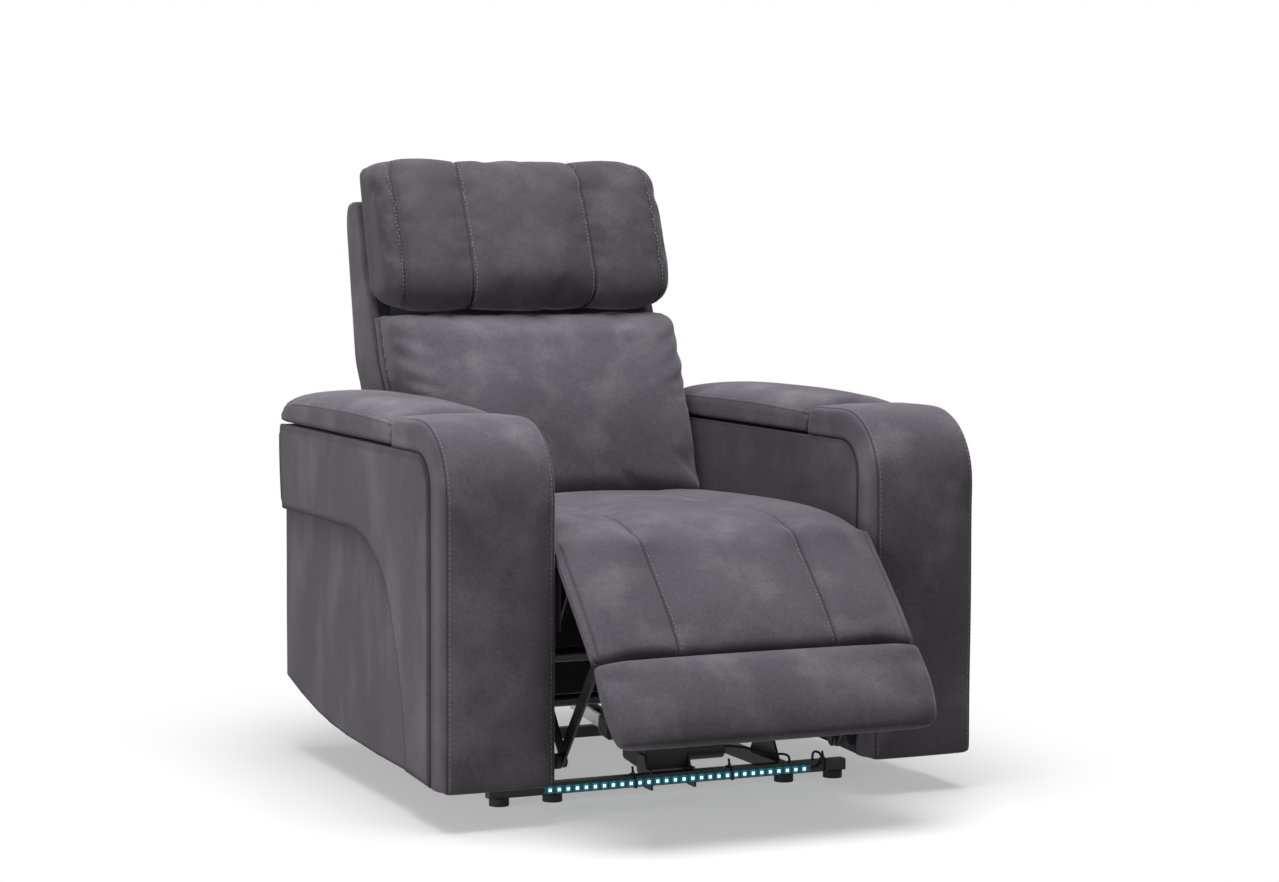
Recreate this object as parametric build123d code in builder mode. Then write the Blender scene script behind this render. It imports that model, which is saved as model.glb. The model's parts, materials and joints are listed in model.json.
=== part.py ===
"""Power recliner of the cinema type: a steel mechanism on round feet, a seat that runs on into a
footrest, two storage arms with hinged lids, a reclining back and a tilting headrest.
Millimetres, +Z up. The sitter faces -Y. Side profiles are drawn as (depth, height), where depth 0
is the vertical front line of the arms and grows towards the back."""
import os
from math import atan2, cos, degrees, radians, sin, sqrt, tan

from build123d import *

os.makedirs("parts", exist_ok=True)

# ---------------------------------------------------------------- driving dimensions
running_fit = 0.05          # radial clearance of a turning pin
soft_gap = 1.0              # air between cushions that move past each other
hands = (-1, 1)             # the sitter's right side is at -X, the left side at +X
end_corners = 8             # the ends of plates and links are cut to an octagon

# arms
arm_outer_x = 487.0
arm_width = 195.0
arm_inner_x = arm_outer_x - arm_width
arm_rear = 815.0
arm_bulge_rear = 828.0
arm_top = 603.0
arm_front_bottom = 62.0
arm_rear_bottom = 136.0
inner_cover = 8.0
side_panel = 6.0
overlay_panel = 6.0
rear_cover = 15.0
ply = 15.0
band_height = 54.0
band_radius = 127.0
band_cap_rear = 225.0
band_edge = 11.0
lid_gap = 3.0
lid_front = 228.0
lid_rear = 827.0
lid_edge_height = 42.0
lid_crown = 19.0
lid_board_thickness = 12.0
bin_floor = 442.0
bin_partition = 240.0
swoosh_height = 446.0

# seat and footrest
cushion_half_width = 288.0
seat_hinge = (26.0, 424.0)
knee_roll = 56.0
knee_slope = 45.0
pad_foam = 32.0
footrest_board = 12.0
knee_length = 236.0
calf_slope = 58.0
calf_length = 128.0
seat_rear = 628.0
seat_bottom = 388.0

# mechanism
tube_size = 20.0
tube_wall = 1.5
tube_half_length = 335.0
foot_height = 13.0
foot_radius = 17.0
foot_inset = 18.0            # outer feet, in from the ends of the tubes
inner_foot_x = 220.0
outer_foot_x = tube_half_length - foot_inset
front_tube_depth = 165.0
rear_tube_depth = 640.0
plate = 4.0
link_gap = 2.0
swing_length = 130.0
swing_lean = 20.0
swing_front_depth = front_tube_depth + 97.0
swing_rear_depth = rear_tube_depth - 65.0
swing_pivot_height = 88.0
pin_radius = 5.0
bolt_neck = 8.4             # square neck of a pivot bolt, which keeps it from turning
footrest_lug = (-98.0, 268.0)
link_elbow = (44.0, 92.0)
torque_tube_radius = 12.5

# back and headrest
back_pivot = (655.0, 345.0)
lumbar_thickness = 115.0
lumbar_lean = 19.1
lumbar_bottom = 432.0
lumbar_top = 804.0
shell_wall = 10.0
shell_lean = 9.7
shell_top = 1012.0
head_hinge = (815.0, 858.0)
head_roll = 46.0
head_lean = 25.5
head_length = 230.0

# actuator and light
actuator_tilt = 6.6
led_pitch = 16.667
led_count = 30

# ---------------------------------------------------------------- derived places
tube_centre = foot_height + tube_size / 2
tube_top = foot_height + tube_size


def along(point, angle, distance):
    """The point at a distance from another, in a direction in degrees from +depth."""
    return (point[0] + distance * cos(radians(angle)), point[1] + distance * sin(radians(angle)))


def facets(centre, radius, first, last, sides=6):
    """Points along an arc, for the outline of a soft part, which needs few faces."""
    return [along(centre, first + (last - first) * k / sides, radius) for k in range(sides + 1)]


knee_normal = 90.0 + knee_slope
shell_corner = 30.0
shell_rear_top = 992.0
lumbar_front = (634.0, lumbar_bottom)
board_low = knee_roll - pad_foam - footrest_board


def on_knee(distance, height):
    """A point by its distance down the footrest's knee part and its height over the hinge."""
    return along(along(seat_hinge, knee_normal, height), 180.0 + knee_slope, distance)


calf_turn = calf_slope - knee_slope
board_bend = knee_length + 6
board_tip = calf_length - 8


def on_calf(distance, height):
    return along(along(on_knee(board_bend, 0), 180.0 + calf_slope, distance), 90.0 + calf_slope, height)


def bend(height):
    return on_knee(board_bend + height * tan(radians(calf_turn / 2)), height)


foam_root = board_low + footrest_board
tuft_drop = 13.0


def calf_profile(inset):
    """The side of the calf pad, from the tuft line down to its blunt nose."""
    crown = knee_roll - inset
    with BuildSketch(mode=Mode.PRIVATE) as outline:
        with BuildLine():
            start = Line(on_knee(knee_length + 2.5, foam_root),
                         on_knee(knee_length + 0.5, crown - tuft_drop + inset / 2))
            crest = Polyline(start @ 1, on_calf(18, crown + 5), on_calf(44, crown + 11),
                             on_calf(calf_length - 48, crown + 12), on_calf(calf_length - 22, crown + 8),
                             on_calf(calf_length - 6, crown + 2))
            nose = Polyline(crest @ 1, on_calf(calf_length + 4, (crown + foam_root) / 2 + 12),
                            on_calf(calf_length + 4, (crown + foam_root) / 2 - 2),
                            on_calf(calf_length - 4, foam_root))
            under = Line(nose @ 1, bend(foam_root))
            Line(under @ 1, start @ 0)
        make_face()
    return outline.sketch


def on_back(height, offset=0.0):
    """A point on the lumbar cushion's front line at a height, moved back by an offset."""
    return (lumbar_front[0] + (height - lumbar_bottom) * tan(radians(lumbar_lean)) + offset, height)


def on_shell(height, offset=0.0):
    """A point on the back shell's rear line at a height, moved back by an offset."""
    return (shell_rear_top - (shell_top - shell_corner - height) * tan(radians(shell_lean)) + offset, height)


def shell_outline(wall):
    """The closed side outline of the shell; a wall thickness moves the rear and the top inwards."""
    forward = 60.0 if wall else 0.0
    low = 347.0 - (1.0 if wall else 0.0)
    return [(712.0 - forward, low), on_shell(low, -wall), on_shell(shell_top - shell_corner, -wall),
            (shell_rear_top - 22 - wall, shell_top - wall), (shell_rear_top - 40, shell_top - wall),
            on_shell(975.0, -50.0), (head_hinge[0] + 97.0 - forward, head_hinge[1] + 3),
            on_back(790.0, lumbar_thickness + 1 - forward),
            on_back(450.0, lumbar_thickness + 1 - forward), (722.0 - forward, 415.0)]


front_reach = -calf_profile(0.0).bounding_box().min.X
rear_reach = max(depth for depth, height in shell_outline(0.0))
front_y = -(rear_reach - front_reach) / 2

link_step = (link_elbow[0] - footrest_lug[0], link_elbow[1] - footrest_lug[1])
torque_axis = (seat_hinge[0] + link_step[0], seat_hinge[1] + link_step[1])

swing_low = ((swing_front_depth, swing_pivot_height), (swing_rear_depth, swing_pivot_height))
swing_high = tuple(along(low, 90.0 - swing_lean, swing_length) for low in swing_low)

# layers of the mechanism, from the base rail outwards
ear_x = inner_foot_x + tube_size / 2
swing_x = ear_x + plate + link_gap
side_plate_x = swing_x + plate + link_gap
crank_x = side_plate_x + plate + link_gap
link_x = crank_x + plate + link_gap
head_arm_x = crank_x - link_gap / 2 - plate


def side(x):
    """A side-view plane: local x is depth, local y is height, and it faces +X."""
    return Plane(origin=(x, front_y, 0), x_dir=(0, 1, 0), z_dir=(1, 0, 0))


def finish(builder, name):
    """Label a sub-part and write its STEP file."""
    builder.part.label = name
    export_step(builder.part, f"parts/{name}.step")


def lobe(point, radius, rest_centre, rest_size):
    """A face that runs from an eye with a cut end to a rectangular root, drawn in the current plane."""
    with BuildSketch(mode=Mode.PRIVATE) as outline:
        with Locations(point):
            RegularPolygon(radius, end_corners)
        with Locations(rest_centre):
            Rectangle(*rest_size)
        make_hull()
    return outline.sketch


def bar(start, end, radius):
    """A flat link outline with cut ends, drawn in the current plane."""
    with BuildSketch(mode=Mode.PRIVATE) as outline:
        with Locations(start, end):
            RegularPolygon(radius, end_corners)
        make_hull()
    return outline.sketch


def polygon(points):
    """A closed straight-sided face in local coordinates."""
    with BuildSketch(mode=Mode.PRIVATE) as outline:
        with BuildLine():
            Polyline(*points, close=True)
        make_face()
    return outline.sketch


# ---------------------------------------------------------------- base
with BuildPart() as cross_tubes:
    with BuildSketch(side(-tube_half_length)):
        for depth in (front_tube_depth, rear_tube_depth):
            with Locations((depth, tube_centre)):
                Rectangle(tube_size, tube_size)
                Rectangle(tube_size - 2 * tube_wall, tube_size - 2 * tube_wall, mode=Mode.SUBTRACT)
    extrude(amount=2 * tube_half_length)
finish(cross_tubes, "cross_tubes")

cap_flange = 3.0
cap_plug = 12.0
with BuildPart() as tube_end_caps:
    for depth in (front_tube_depth, rear_tube_depth):
        for hand in hands:
            with BuildSketch(side(hand * tube_half_length)):
                with Locations((depth, tube_centre)):
                    Rectangle(tube_size, tube_size)
            extrude(amount=hand * cap_flange)
            with BuildSketch(side(hand * tube_half_length)):
                with Locations((depth, tube_centre)):
                    Rectangle(tube_size - 2 * tube_wall, tube_size - 2 * tube_wall)
            extrude(amount=-hand * cap_plug)
finish(tube_end_caps, "tube_end_caps")

foot_x = (-outer_foot_x, -inner_foot_x, inner_foot_x, outer_foot_x)
with BuildPart() as floor_feet:
    with BuildSketch(Plane.XY):
        for depth in (front_tube_depth, rear_tube_depth):
            with Locations(*[(x, front_y + depth) for x in foot_x]):
                Circle(foot_radius)
    extrude(amount=foot_height)
finish(floor_feet, "floor_feet")

ear_foot = 110.0
rail_front = front_tube_depth + tube_size / 2
rail_rear = rear_tube_depth - tube_size / 2
with BuildPart() as base_rails:
    for hand in hands:
        with BuildSketch(Plane(origin=(hand * inner_foot_x, front_y + rail_front, tube_centre),
                               x_dir=(1, 0, 0), z_dir=(0, 1, 0))):
            Rectangle(tube_size, tube_size)
            Rectangle(tube_size - 2 * tube_wall, tube_size - 2 * tube_wall, mode=Mode.SUBTRACT)
        extrude(amount=rail_rear - rail_front)
        with BuildSketch(side(hand * ear_x)):
            for low in swing_low:
                add(lobe(low, 16.0, (low[0], tube_centre + 4), (ear_foot, 8.0)))
            with Locations(((rail_front + rail_rear) / 2, tube_centre)):
                Rectangle(rail_rear - rail_front - 20, 14.0)
            for low in swing_low:
                with Locations(low):
                    Rectangle(bolt_neck, bolt_neck, mode=Mode.SUBTRACT)
        extrude(amount=hand * plate)
finish(base_rails, "base_rails")


def pivot_bolts(shank, neck, points, heads=9.0, head_height=1.5):
    """Bolts on both sides: a round shank in the turning plate, a square neck in the fixed one."""
    ends = (min(shank + neck) - head_height, max(shank + neck))
    with BuildPart() as group:
        for hand in hands:
            for end in ends:
                with BuildSketch(side(hand * end)):
                    with Locations(*points):
                        RegularPolygon(heads, 6)
                extrude(amount=hand * head_height)
            with BuildSketch(side(hand * shank[0])):
                with Locations(*points):
                    Circle(pin_radius)
            extrude(amount=hand * (shank[1] - shank[0]))
            with BuildSketch(side(hand * neck[0])):
                with Locations(*points):
                    Rectangle(bolt_neck, bolt_neck)
            extrude(amount=hand * (neck[1] - neck[0]))
    return group


base_pivot_bolts = pivot_bolts((ear_x + plate, swing_x + plate + 0.1), (ear_x, ear_x + plate),
                               swing_low, heads=8.0)
finish(base_pivot_bolts, "base_pivot_bolts")

# ---------------------------------------------------------------- light strip on the front tube
strip_thickness = 3.0
strip_height = 12.0
strip_start_x = -240.0
strip_end_x = strip_start_x + led_count * led_pitch + 6.0
tube_front = front_tube_depth - tube_size / 2
with BuildPart() as led_strip:
    with BuildSketch(side(strip_start_x)):
        with Locations((tube_front - strip_thickness / 2, tube_centre - 2)):
            Rectangle(strip_thickness, strip_height)
    extrude(amount=strip_end_x - strip_start_x)
finish(led_strip, "led_strip")

led_size = 5.0
led_height = 1.6
first_led_x = strip_start_x + led_pitch / 2 + 2.0
with BuildPart() as led_chips:
    with BuildSketch(Plane(origin=(0, front_y + tube_front - strip_thickness, 0),
                           x_dir=(1, 0, 0), z_dir=(0, -1, 0))):
        with Locations(*[(first_led_x + i * led_pitch, tube_centre - 2) for i in range(led_count)]):
            Rectangle(led_size, led_size)
    extrude(amount=led_height)
finish(led_chips, "led_chips")

tie_width = 4.0
tie_wall = 1.2
tie_x = (-72.0, 112.0, 296.0)
with BuildPart() as cable_ties:
    for x in tie_x:
        with BuildSketch(side(x)):
            front_edge = tube_front - strip_thickness
            loop_depth = front_tube_depth + tube_size / 2 - front_edge
            with Locations((front_edge + loop_depth / 2, tube_centre)):
                Rectangle(loop_depth + 2 * tie_wall, tube_size + 2 * tie_wall)
                Rectangle(loop_depth, tube_size, mode=Mode.SUBTRACT)
        extrude(amount=tie_width)
        with BuildSketch(side(x)):
            with Locations((front_tube_depth, tube_top + tie_wall + 2.0)):
                Rectangle(6.0, 4.0)
            with Locations((front_tube_depth + 2, tube_top + tie_wall + 8.0)):
                Rectangle(1.2, 10.0, rotation=-20)
        extrude(amount=tie_width)
finish(cable_ties, "cable_ties")

# ---------------------------------------------------------------- actuator
actuator_start = (front_tube_depth + 19.0, 48.0)
gearbox_half = 39.0
gearbox_x = 2.0
gearbox_length = 100.0
gearbox_height = 52.0
motor_radius = 19.0
motor_length = 79.0
motor_rise = 6.0            # the gear case and the motor's axis, above the rail's axis
motor_place = (38.0, motor_rise)


def actuator_plane(x):
    """A side-view plane whose local x runs along the actuator's rail."""
    base = side(x)
    return Plane(origin=base.from_local_coords((*actuator_start, 0)),
                 x_dir=(0, cos(radians(actuator_tilt)), sin(radians(actuator_tilt))),
                 z_dir=(1, 0, 0))


ear_lift = 60.0
with BuildPart() as actuator_clamp:
    for x in (gearbox_x - gearbox_half - plate, gearbox_x + gearbox_half):
        with BuildSketch(side(x)):
            add(polygon([(tube_front - 1, 5), (front_tube_depth + 17, 5), (actuator_start[0] + 30, 30),
                         (actuator_start[0] + 30, ear_lift), (actuator_start[0], ear_lift),
                         (front_tube_depth + 10, tube_top + 6), (tube_front + 4, tube_top + 6),
                         (tube_front + 4, tube_top), (front_tube_depth, tube_top),
                         (front_tube_depth, foot_height), (tube_front - 1, foot_height)]))
            with Locations((front_tube_depth, tube_centre)):
                Rectangle(tube_size, tube_size, mode=Mode.SUBTRACT)
        extrude(amount=plate)
    with BuildSketch(actuator_plane(gearbox_x + gearbox_half)):
        with Locations(motor_place):
            Circle(motor_radius - 5)
    extrude(amount=plate, mode=Mode.SUBTRACT)
finish(actuator_clamp, "actuator_clamp")

with BuildPart() as actuator_gearbox:
    with BuildSketch(actuator_plane(gearbox_x - gearbox_half)) as gearbox_side:
        with Locations((gearbox_length / 2, motor_rise)):
            Rectangle(gearbox_length, gearbox_height)
        chamfer(gearbox_side.vertices(), 6.0)
    extrude(amount=2 * gearbox_half)
    chamfer(actuator_gearbox.faces().sort_by(Axis.X)[0].outer_wire().edges(), 2.0)
    with BuildSketch(actuator_plane(gearbox_x)):
        with Locations((gearbox_length - 12, gearbox_height / 2 + motor_rise)):
            Rectangle(14.0, 8.0)
    extrude(amount=9.0, both=True)
finish(actuator_gearbox, "actuator_gearbox")

with BuildPart() as actuator_motor:
    with BuildSketch(actuator_plane(gearbox_x + gearbox_half + plate)):
        with Locations(motor_place):
            Circle(motor_radius)
    extrude(amount=motor_length)
    with BuildSketch(actuator_plane(gearbox_x + gearbox_half)):
        with Locations(motor_place):
            Circle(motor_radius - 5)
    extrude(amount=plate)
finish(actuator_motor, "actuator_motor")

# the light strip's lead: over the front tube, over the left-hand base rail and into the motor's end
lead_radius = 2.2
lead_bend = 9.0
lead_corner_x = tube_half_length - 47.0
lead_top = tube_top + 13.0
lead_low = tube_centre - 1.0    # where it passes under the footrest's links
motor_axis = actuator_plane(0).from_local_coords((*motor_place, 0))
strip_y = front_y + tube_front - lead_radius - 0.1
behind_tube_y = front_y + tube_front + tube_size + 11.0
lead_route = [(strip_end_x, strip_y, tube_centre - 2),
              (lead_corner_x, strip_y, tube_centre - 2),
              (lead_corner_x, strip_y - 3, lead_top),
              (lead_corner_x, behind_tube_y, lead_top),
              (lead_corner_x, behind_tube_y, lead_low),
              (inner_foot_x + 22, behind_tube_y, lead_low),
              (inner_foot_x + 22, behind_tube_y, lead_top - 2),
              (inner_foot_x - 25, behind_tube_y, lead_top - 2),
              (inner_foot_x - 60, motor_axis.Y, motor_axis.Z),
              (gearbox_x + gearbox_half + plate + motor_length, motor_axis.Y, motor_axis.Z)]
with BuildPart() as led_lead:
    with BuildLine():
        lead_line = FilletPolyline(*lead_route, radius=lead_bend)
    with BuildSketch(Plane(origin=lead_line @ 0, z_dir=lead_line % 0)):
        RegularPolygon(lead_radius, 6)
    sweep(path=lead_line)
finish(led_lead, "led_lead")

guide_width = 30.0
guide_height = 22.0
guide_wall = 2.0
guide_length = 285.0


def rail_station(distance):
    """A plane square to the rail, whose local y points down."""
    return Plane(origin=actuator_plane(0).from_local_coords((distance, 0, 0)),
                 x_dir=(1, 0, 0), z_dir=actuator_plane(0).x_dir)


with BuildPart() as actuator_rail:
    with BuildSketch(rail_station(gearbox_length)):
        Rectangle(guide_width, guide_height)
        with Locations((0, -guide_wall)):
            Rectangle(guide_width - 2 * guide_wall, guide_height, mode=Mode.SUBTRACT)
    extrude(amount=guide_length)
finish(actuator_rail, "actuator_rail")

screw_radius = 5.0
screw_bearing = 10.0
with BuildPart() as actuator_screw:
    with BuildSketch(rail_station(gearbox_length)):
        Circle(screw_radius)
    extrude(amount=guide_length - screw_bearing)
    with BuildSketch(rail_station(gearbox_length + guide_length - screw_bearing)):
        with Locations((0, -guide_wall)):
            Rectangle(guide_width - 2 * guide_wall, guide_height - guide_wall - 2)
    extrude(amount=screw_bearing)
finish(actuator_screw, "actuator_screw")

# ---------------------------------------------------------------- trolley on the rail
trolley_start = 200.0
trolley_length = 40.0
trolley_wall = 7.0
trolley_gap = 0.5
trolley_pin_height = 36.0
lug_x = 7.0
pin_spot = actuator_plane(0).from_local_coords((trolley_start + trolley_length / 2, trolley_pin_height, 0))
trolley_pin = (pin_spot.Y - front_y, pin_spot.Z)
lug_root = along(trolley_pin, 270 + actuator_tilt, trolley_pin_height - 17.0)
with BuildPart() as actuator_trolley:
    outer_width = guide_width + 2 * (trolley_gap + trolley_wall)
    outer_height = guide_height + 2 * (trolley_gap + trolley_wall)
    with BuildSketch(rail_station(trolley_start)) as trolley_section:
        Rectangle(outer_width, outer_height)
        chamfer(trolley_section.vertices(), 4.0)
        Rectangle(guide_width + 2 * trolley_gap, guide_height + 2 * trolley_gap, mode=Mode.SUBTRACT)
        with Locations((0, -guide_wall)):
            Rectangle(guide_width - 2 * guide_wall - 1, guide_height - 2)
        with Locations((0, -guide_height / 2)):
            Rectangle(guide_width - 2 * guide_wall - 1, 6.0)
        Circle(screw_radius + 0.3, mode=Mode.SUBTRACT)
    extrude(amount=trolley_length)
    for x in (-lug_x - plate - 1, lug_x):
        with BuildSketch(side(x)):
            add(lobe(trolley_pin, 9.0, lug_root, (26.0, 6.0)))
        extrude(amount=plate + 1)
    with BuildSketch(side(-lug_x - plate - 2)):
        with Locations(trolley_pin):
            Circle(pin_radius)
    extrude(amount=2 * (lug_x + plate + 2))
finish(actuator_trolley, "actuator_trolley")

# ---------------------------------------------------------------- swing links
cross_radius = 11.0
link_eye = 14.0
swing_mid = along(swing_low[0], 90.0 - swing_lean, swing_length / 2)


def swing_plates(index):
    with BuildPart() as plates:
        for hand in hands:
            with BuildSketch(side(hand * swing_x)):
                add(bar(swing_low[index], swing_high[index], link_eye))
                with Locations(swing_low[index], swing_high[index]):
                    Circle(pin_radius + running_fit, mode=Mode.SUBTRACT)
            extrude(amount=hand * plate)
    return plates


rear_swing_links = swing_plates(1)
finish(rear_swing_links, "rear_swing_links")
with BuildPart() as front_swing_frame:
    add(swing_plates(0).part)
    with BuildSketch(side(-swing_x)):
        with Locations(swing_mid):
            Circle(cross_radius)
            Circle(cross_radius - 2.0, mode=Mode.SUBTRACT)
    extrude(amount=2 * swing_x)
finish(front_swing_frame, "front_swing_frame")

drive_eye = 13.0
drive_slack = 4.4
with BuildPart() as drive_link:
    with BuildSketch(side(-lug_x + 1)):
        with Locations(swing_mid):
            RegularPolygon(cross_radius + 4, end_corners)
        with Locations(trolley_pin):
            RegularPolygon(drive_eye, end_corners)
        make_hull()
        with Locations(swing_mid):
            Circle(cross_radius + running_fit, mode=Mode.SUBTRACT)
        with Locations(trolley_pin):
            Circle(pin_radius + drive_slack, mode=Mode.SUBTRACT)
    extrude(amount=2 * (lug_x - 1))
finish(drive_link, "drive_link")

# ---------------------------------------------------------------- seat carriage
frame_front = 75.0
frame_rear = seat_rear
frame_low = 330.0
frame_high = 384.0
board = 22.0
side_rail = 24.0
rail_inner_x = side_plate_x + plate
plate_root = 345.0
with BuildPart() as side_plates:
    for hand in hands:
        with BuildSketch(side(hand * side_plate_x)):
            with Locations(((frame_front + frame_rear) / 2, plate_root)):
                Rectangle(frame_rear - frame_front, 60.0)
            add(lobe(seat_hinge, 14.0, (frame_front + 9, plate_root - 5), (16.0, 44.0)))
            add(lobe(torque_axis, 24.0, (torque_axis[0] + 10, plate_root - 20), (110.0, 20.0)))
            for high in swing_high:
                add(lobe(high, 18.0, (high[0] - 15, plate_root - 20), (90.0, 20.0)))
            add(lobe(back_pivot, 20.0, (frame_rear - 30, plate_root), (50.0, 56.0)))
            with Locations(*swing_high, seat_hinge, back_pivot):
                Rectangle(bolt_neck, bolt_neck, mode=Mode.SUBTRACT)
            with Locations(torque_axis):
                Circle(torque_tube_radius + running_fit, mode=Mode.SUBTRACT)
        extrude(amount=hand * plate)
finish(side_plates, "side_plates")

with BuildPart() as seat_pivot_bolts:
    add(pivot_bolts((swing_x - 0.1, side_plate_x), (side_plate_x, side_plate_x + plate),
                    swing_high, heads=8.0).part)
    add(pivot_bolts((side_plate_x + plate, crank_x + plate + 0.1), (side_plate_x, side_plate_x + plate),
                    (seat_hinge, back_pivot)).part)
finish(seat_pivot_bolts, "seat_pivot_bolts")

with BuildPart() as seat_frame:
    with BuildSketch(Plane.XY.offset(frame_low)):
        with Locations((0, front_y + (frame_front + frame_rear) / 2)):
            Rectangle(2 * (rail_inner_x + side_rail), frame_rear - frame_front)
            Rectangle(2 * rail_inner_x, frame_rear - frame_front - 2 * board, mode=Mode.SUBTRACT)
        for hand in hands:
            with Locations((hand * (side_plate_x + plate / 2), front_y + frame_front),
                           (hand * (side_plate_x + plate / 2), front_y + frame_rear)):
                Rectangle(plate + 1, 2 * board + 1, mode=Mode.SUBTRACT)
    extrude(amount=frame_high - frame_low)
finish(seat_frame, "seat_frame")

spring_wire = 1.9
spring_count = 6
spring_loop = 12.0
spring_pitch = 26.0
with BuildPart() as seat_springs:
    run = frame_rear - frame_front - board
    loops = int(run / spring_pitch)
    spring_z = frame_high + spring_wire
    for i in range(spring_count):
        x = (i - (spring_count - 1) / 2) * 76.0
        corners = []
        for k in range(loops + 1):
            depth = frame_front + board / 2 + k * run / loops
            reach = spring_loop if k % 2 else -spring_loop
            corners.append((x + reach, front_y + depth, spring_z))
        with BuildLine():
            wire = Polyline(*corners)
        with BuildSketch(Plane(origin=wire @ 0, z_dir=wire % 0)):
            Rectangle(2 * spring_wire, 2 * spring_wire)
        sweep(path=wire, transition=Transition.RIGHT)
finish(seat_springs, "seat_springs")


def crowned(profile, stations):
    """A cushion lofted across its width through side profiles that are drawn in by given amounts."""
    with BuildPart() as cushion:
        for x, inset in stations:
            with BuildSketch(side(x)) as section:
                add(profile(inset))
        loft(ruled=True)
    return cushion


def mirrored(stations):
    """Stations for x >= 0, repeated on the other side in order."""
    return [(-x, inset) for x, inset in reversed(stations)] + [(x, i) for x, i in stations if x > 0]


lip_radius = knee_roll + soft_gap
lip_sag = 0.8               # keeps the flats of the lip outside its radius


def seat_profile(inset):
    lip = 478.0 - inset
    lip_angle = degrees(atan2(lip - seat_hinge[1], sqrt(lip_radius ** 2 - (lip - seat_hinge[1]) ** 2)))
    with BuildSketch(mode=Mode.PRIVATE) as outline:
        with BuildLine():
            front = Polyline(*facets(seat_hinge, lip_radius + lip_sag, lip_angle, low_angle))
            low = Polyline(front @ 1, (front_low_depth, seat_bottom), (seat_rear, seat_bottom))
            back = Line(low @ 1, (seat_rear, 462.0 - inset))
            top = Polyline(back @ 1, (420.0, 484.0 - inset), (260.0, 491.0 - inset), (130.0, 492.0 - inset))
            Line(top @ 1, front @ 0)
        make_face()
    return outline.sketch


low_angle = -30.0
front_low_depth = along(seat_hinge, low_angle, lip_radius)[0] + 2
channel_x = 142.0
channel_depth = 5.0
seat_stations = mirrored([(channel_x - 20, 0.0), (channel_x, channel_depth),
                          (channel_x + 20, 1.0), (262.0, 5.0), (cushion_half_width, 20.0)])
seat_cushion = crowned(seat_profile, seat_stations)
finish(seat_cushion, "seat_cushion")

# ---------------------------------------------------------------- footrest linkage
crank_eye = 12.0
with BuildPart() as footrest_torque_tube:
    with BuildSketch(side(-crank_x)):
        with Locations(torque_axis):
            Circle(torque_tube_radius)
            Circle(torque_tube_radius - 2.0, mode=Mode.SUBTRACT)
    extrude(amount=2 * crank_x)
    for hand in hands:
        with BuildSketch(side(hand * crank_x)):
            add(bar(torque_axis, link_elbow, crank_eye))
            with Locations(torque_axis):
                RegularPolygon(torque_tube_radius + 5, end_corners)
            with Locations(link_elbow):
                Circle(pin_radius + running_fit, mode=Mode.SUBTRACT)
        extrude(amount=hand * plate)
finish(footrest_torque_tube, "footrest_torque_tube")

with BuildPart() as footrest_links:
    for hand in hands:
        with BuildSketch(side(hand * link_x)):
            add(bar(link_elbow, footrest_lug, crank_eye))
            with Locations(footrest_lug):
                Circle(pin_radius + 0.3, mode=Mode.SUBTRACT)
        extrude(amount=hand * plate)
        with BuildSketch(side(hand * (crank_x - 1.6))):
            with Locations(link_elbow):
                Circle(pin_radius)
        extrude(amount=hand * (link_x - crank_x + 1.6))
        with BuildSketch(side(hand * (crank_x - 1.6))):
            with Locations(link_elbow):
                RegularPolygon(8.0, 6)
        extrude(amount=hand * 1.4)
finish(footrest_links, "footrest_links")

bumper_height = 10.0
with BuildPart() as elbow_bumpers:
    for hand in hands:
        with BuildSketch(side(hand * (link_x + plate))):
            with Locations(link_elbow):
                Circle(crank_eye + 1)
        extrude(amount=hand * bumper_height)
finish(elbow_bumpers, "elbow_bumpers")

# ---------------------------------------------------------------- footrest
board_half = 262.0
with BuildPart() as footrest_board_panel:
    with BuildSketch(side(-board_half)):
        add(polygon([on_knee(18, board_low), bend(board_low), on_calf(board_tip, board_low),
                     on_calf(board_tip, foam_root), bend(foam_root), on_knee(18, foam_root)]))
    extrude(amount=2 * board_half)
finish(footrest_board_panel, "footrest_board")

roll_tail = 31.0


def knee_profile(inset):
    radius = knee_roll - inset
    with BuildSketch(mode=Mode.PRIVATE) as outline:
        with BuildLine():
            roll = Polyline(*facets(seat_hinge, radius, roll_tail, knee_normal))
            drop = tuft_drop - inset / 2
            top = Polyline(roll @ 1, on_knee(knee_length - 30, radius),
                           on_knee(knee_length - 12, radius - drop / 4), on_knee(knee_length, radius - drop),
                           on_knee(knee_length + 2, foam_root))
            inner = Polyline(*facets(seat_hinge, foam_root, knee_normal, roll_tail, sides=4))
            Line(top @ 1, inner @ 0)
            Line(inner @ 1, roll @ 0)
        make_face()
    return outline.sketch


knee_pad = crowned(knee_profile, seat_stations)
finish(knee_pad, "knee_pad")


calf_stations = mirrored([(140.0, 0.0), (255.0, 4.0), (cushion_half_width, 16.0)])
calf_pad = crowned(calf_profile, calf_stations)
finish(calf_pad, "calf_pad")

with BuildPart() as footrest_brackets:
    for hand in hands:
        with BuildSketch(side(hand * crank_x)):
            add(bar(seat_hinge, on_knee(210, 0), board_low - 1))
            add(polygon([on_knee(20, 0), on_knee(20, board_low), on_knee(230, board_low), on_knee(230, 0)]))
            add(lobe(footrest_lug, crank_eye, on_knee(200, 0), (14.0, 14.0)))
            with Locations(seat_hinge):
                RegularPolygon(14.0, end_corners)
                Circle(pin_radius + running_fit, mode=Mode.SUBTRACT)
        extrude(amount=hand * plate)
        with BuildSketch(side(hand * crank_x)):
            with Locations(footrest_lug):
                Circle(pin_radius)
        extrude(amount=hand * (link_x + plate + 2 - crank_x))
finish(footrest_brackets, "footrest_brackets")

# ---------------------------------------------------------------- arms
band_outer = -27.0
band_inner = 40.0
band_turn = 58.0


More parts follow.
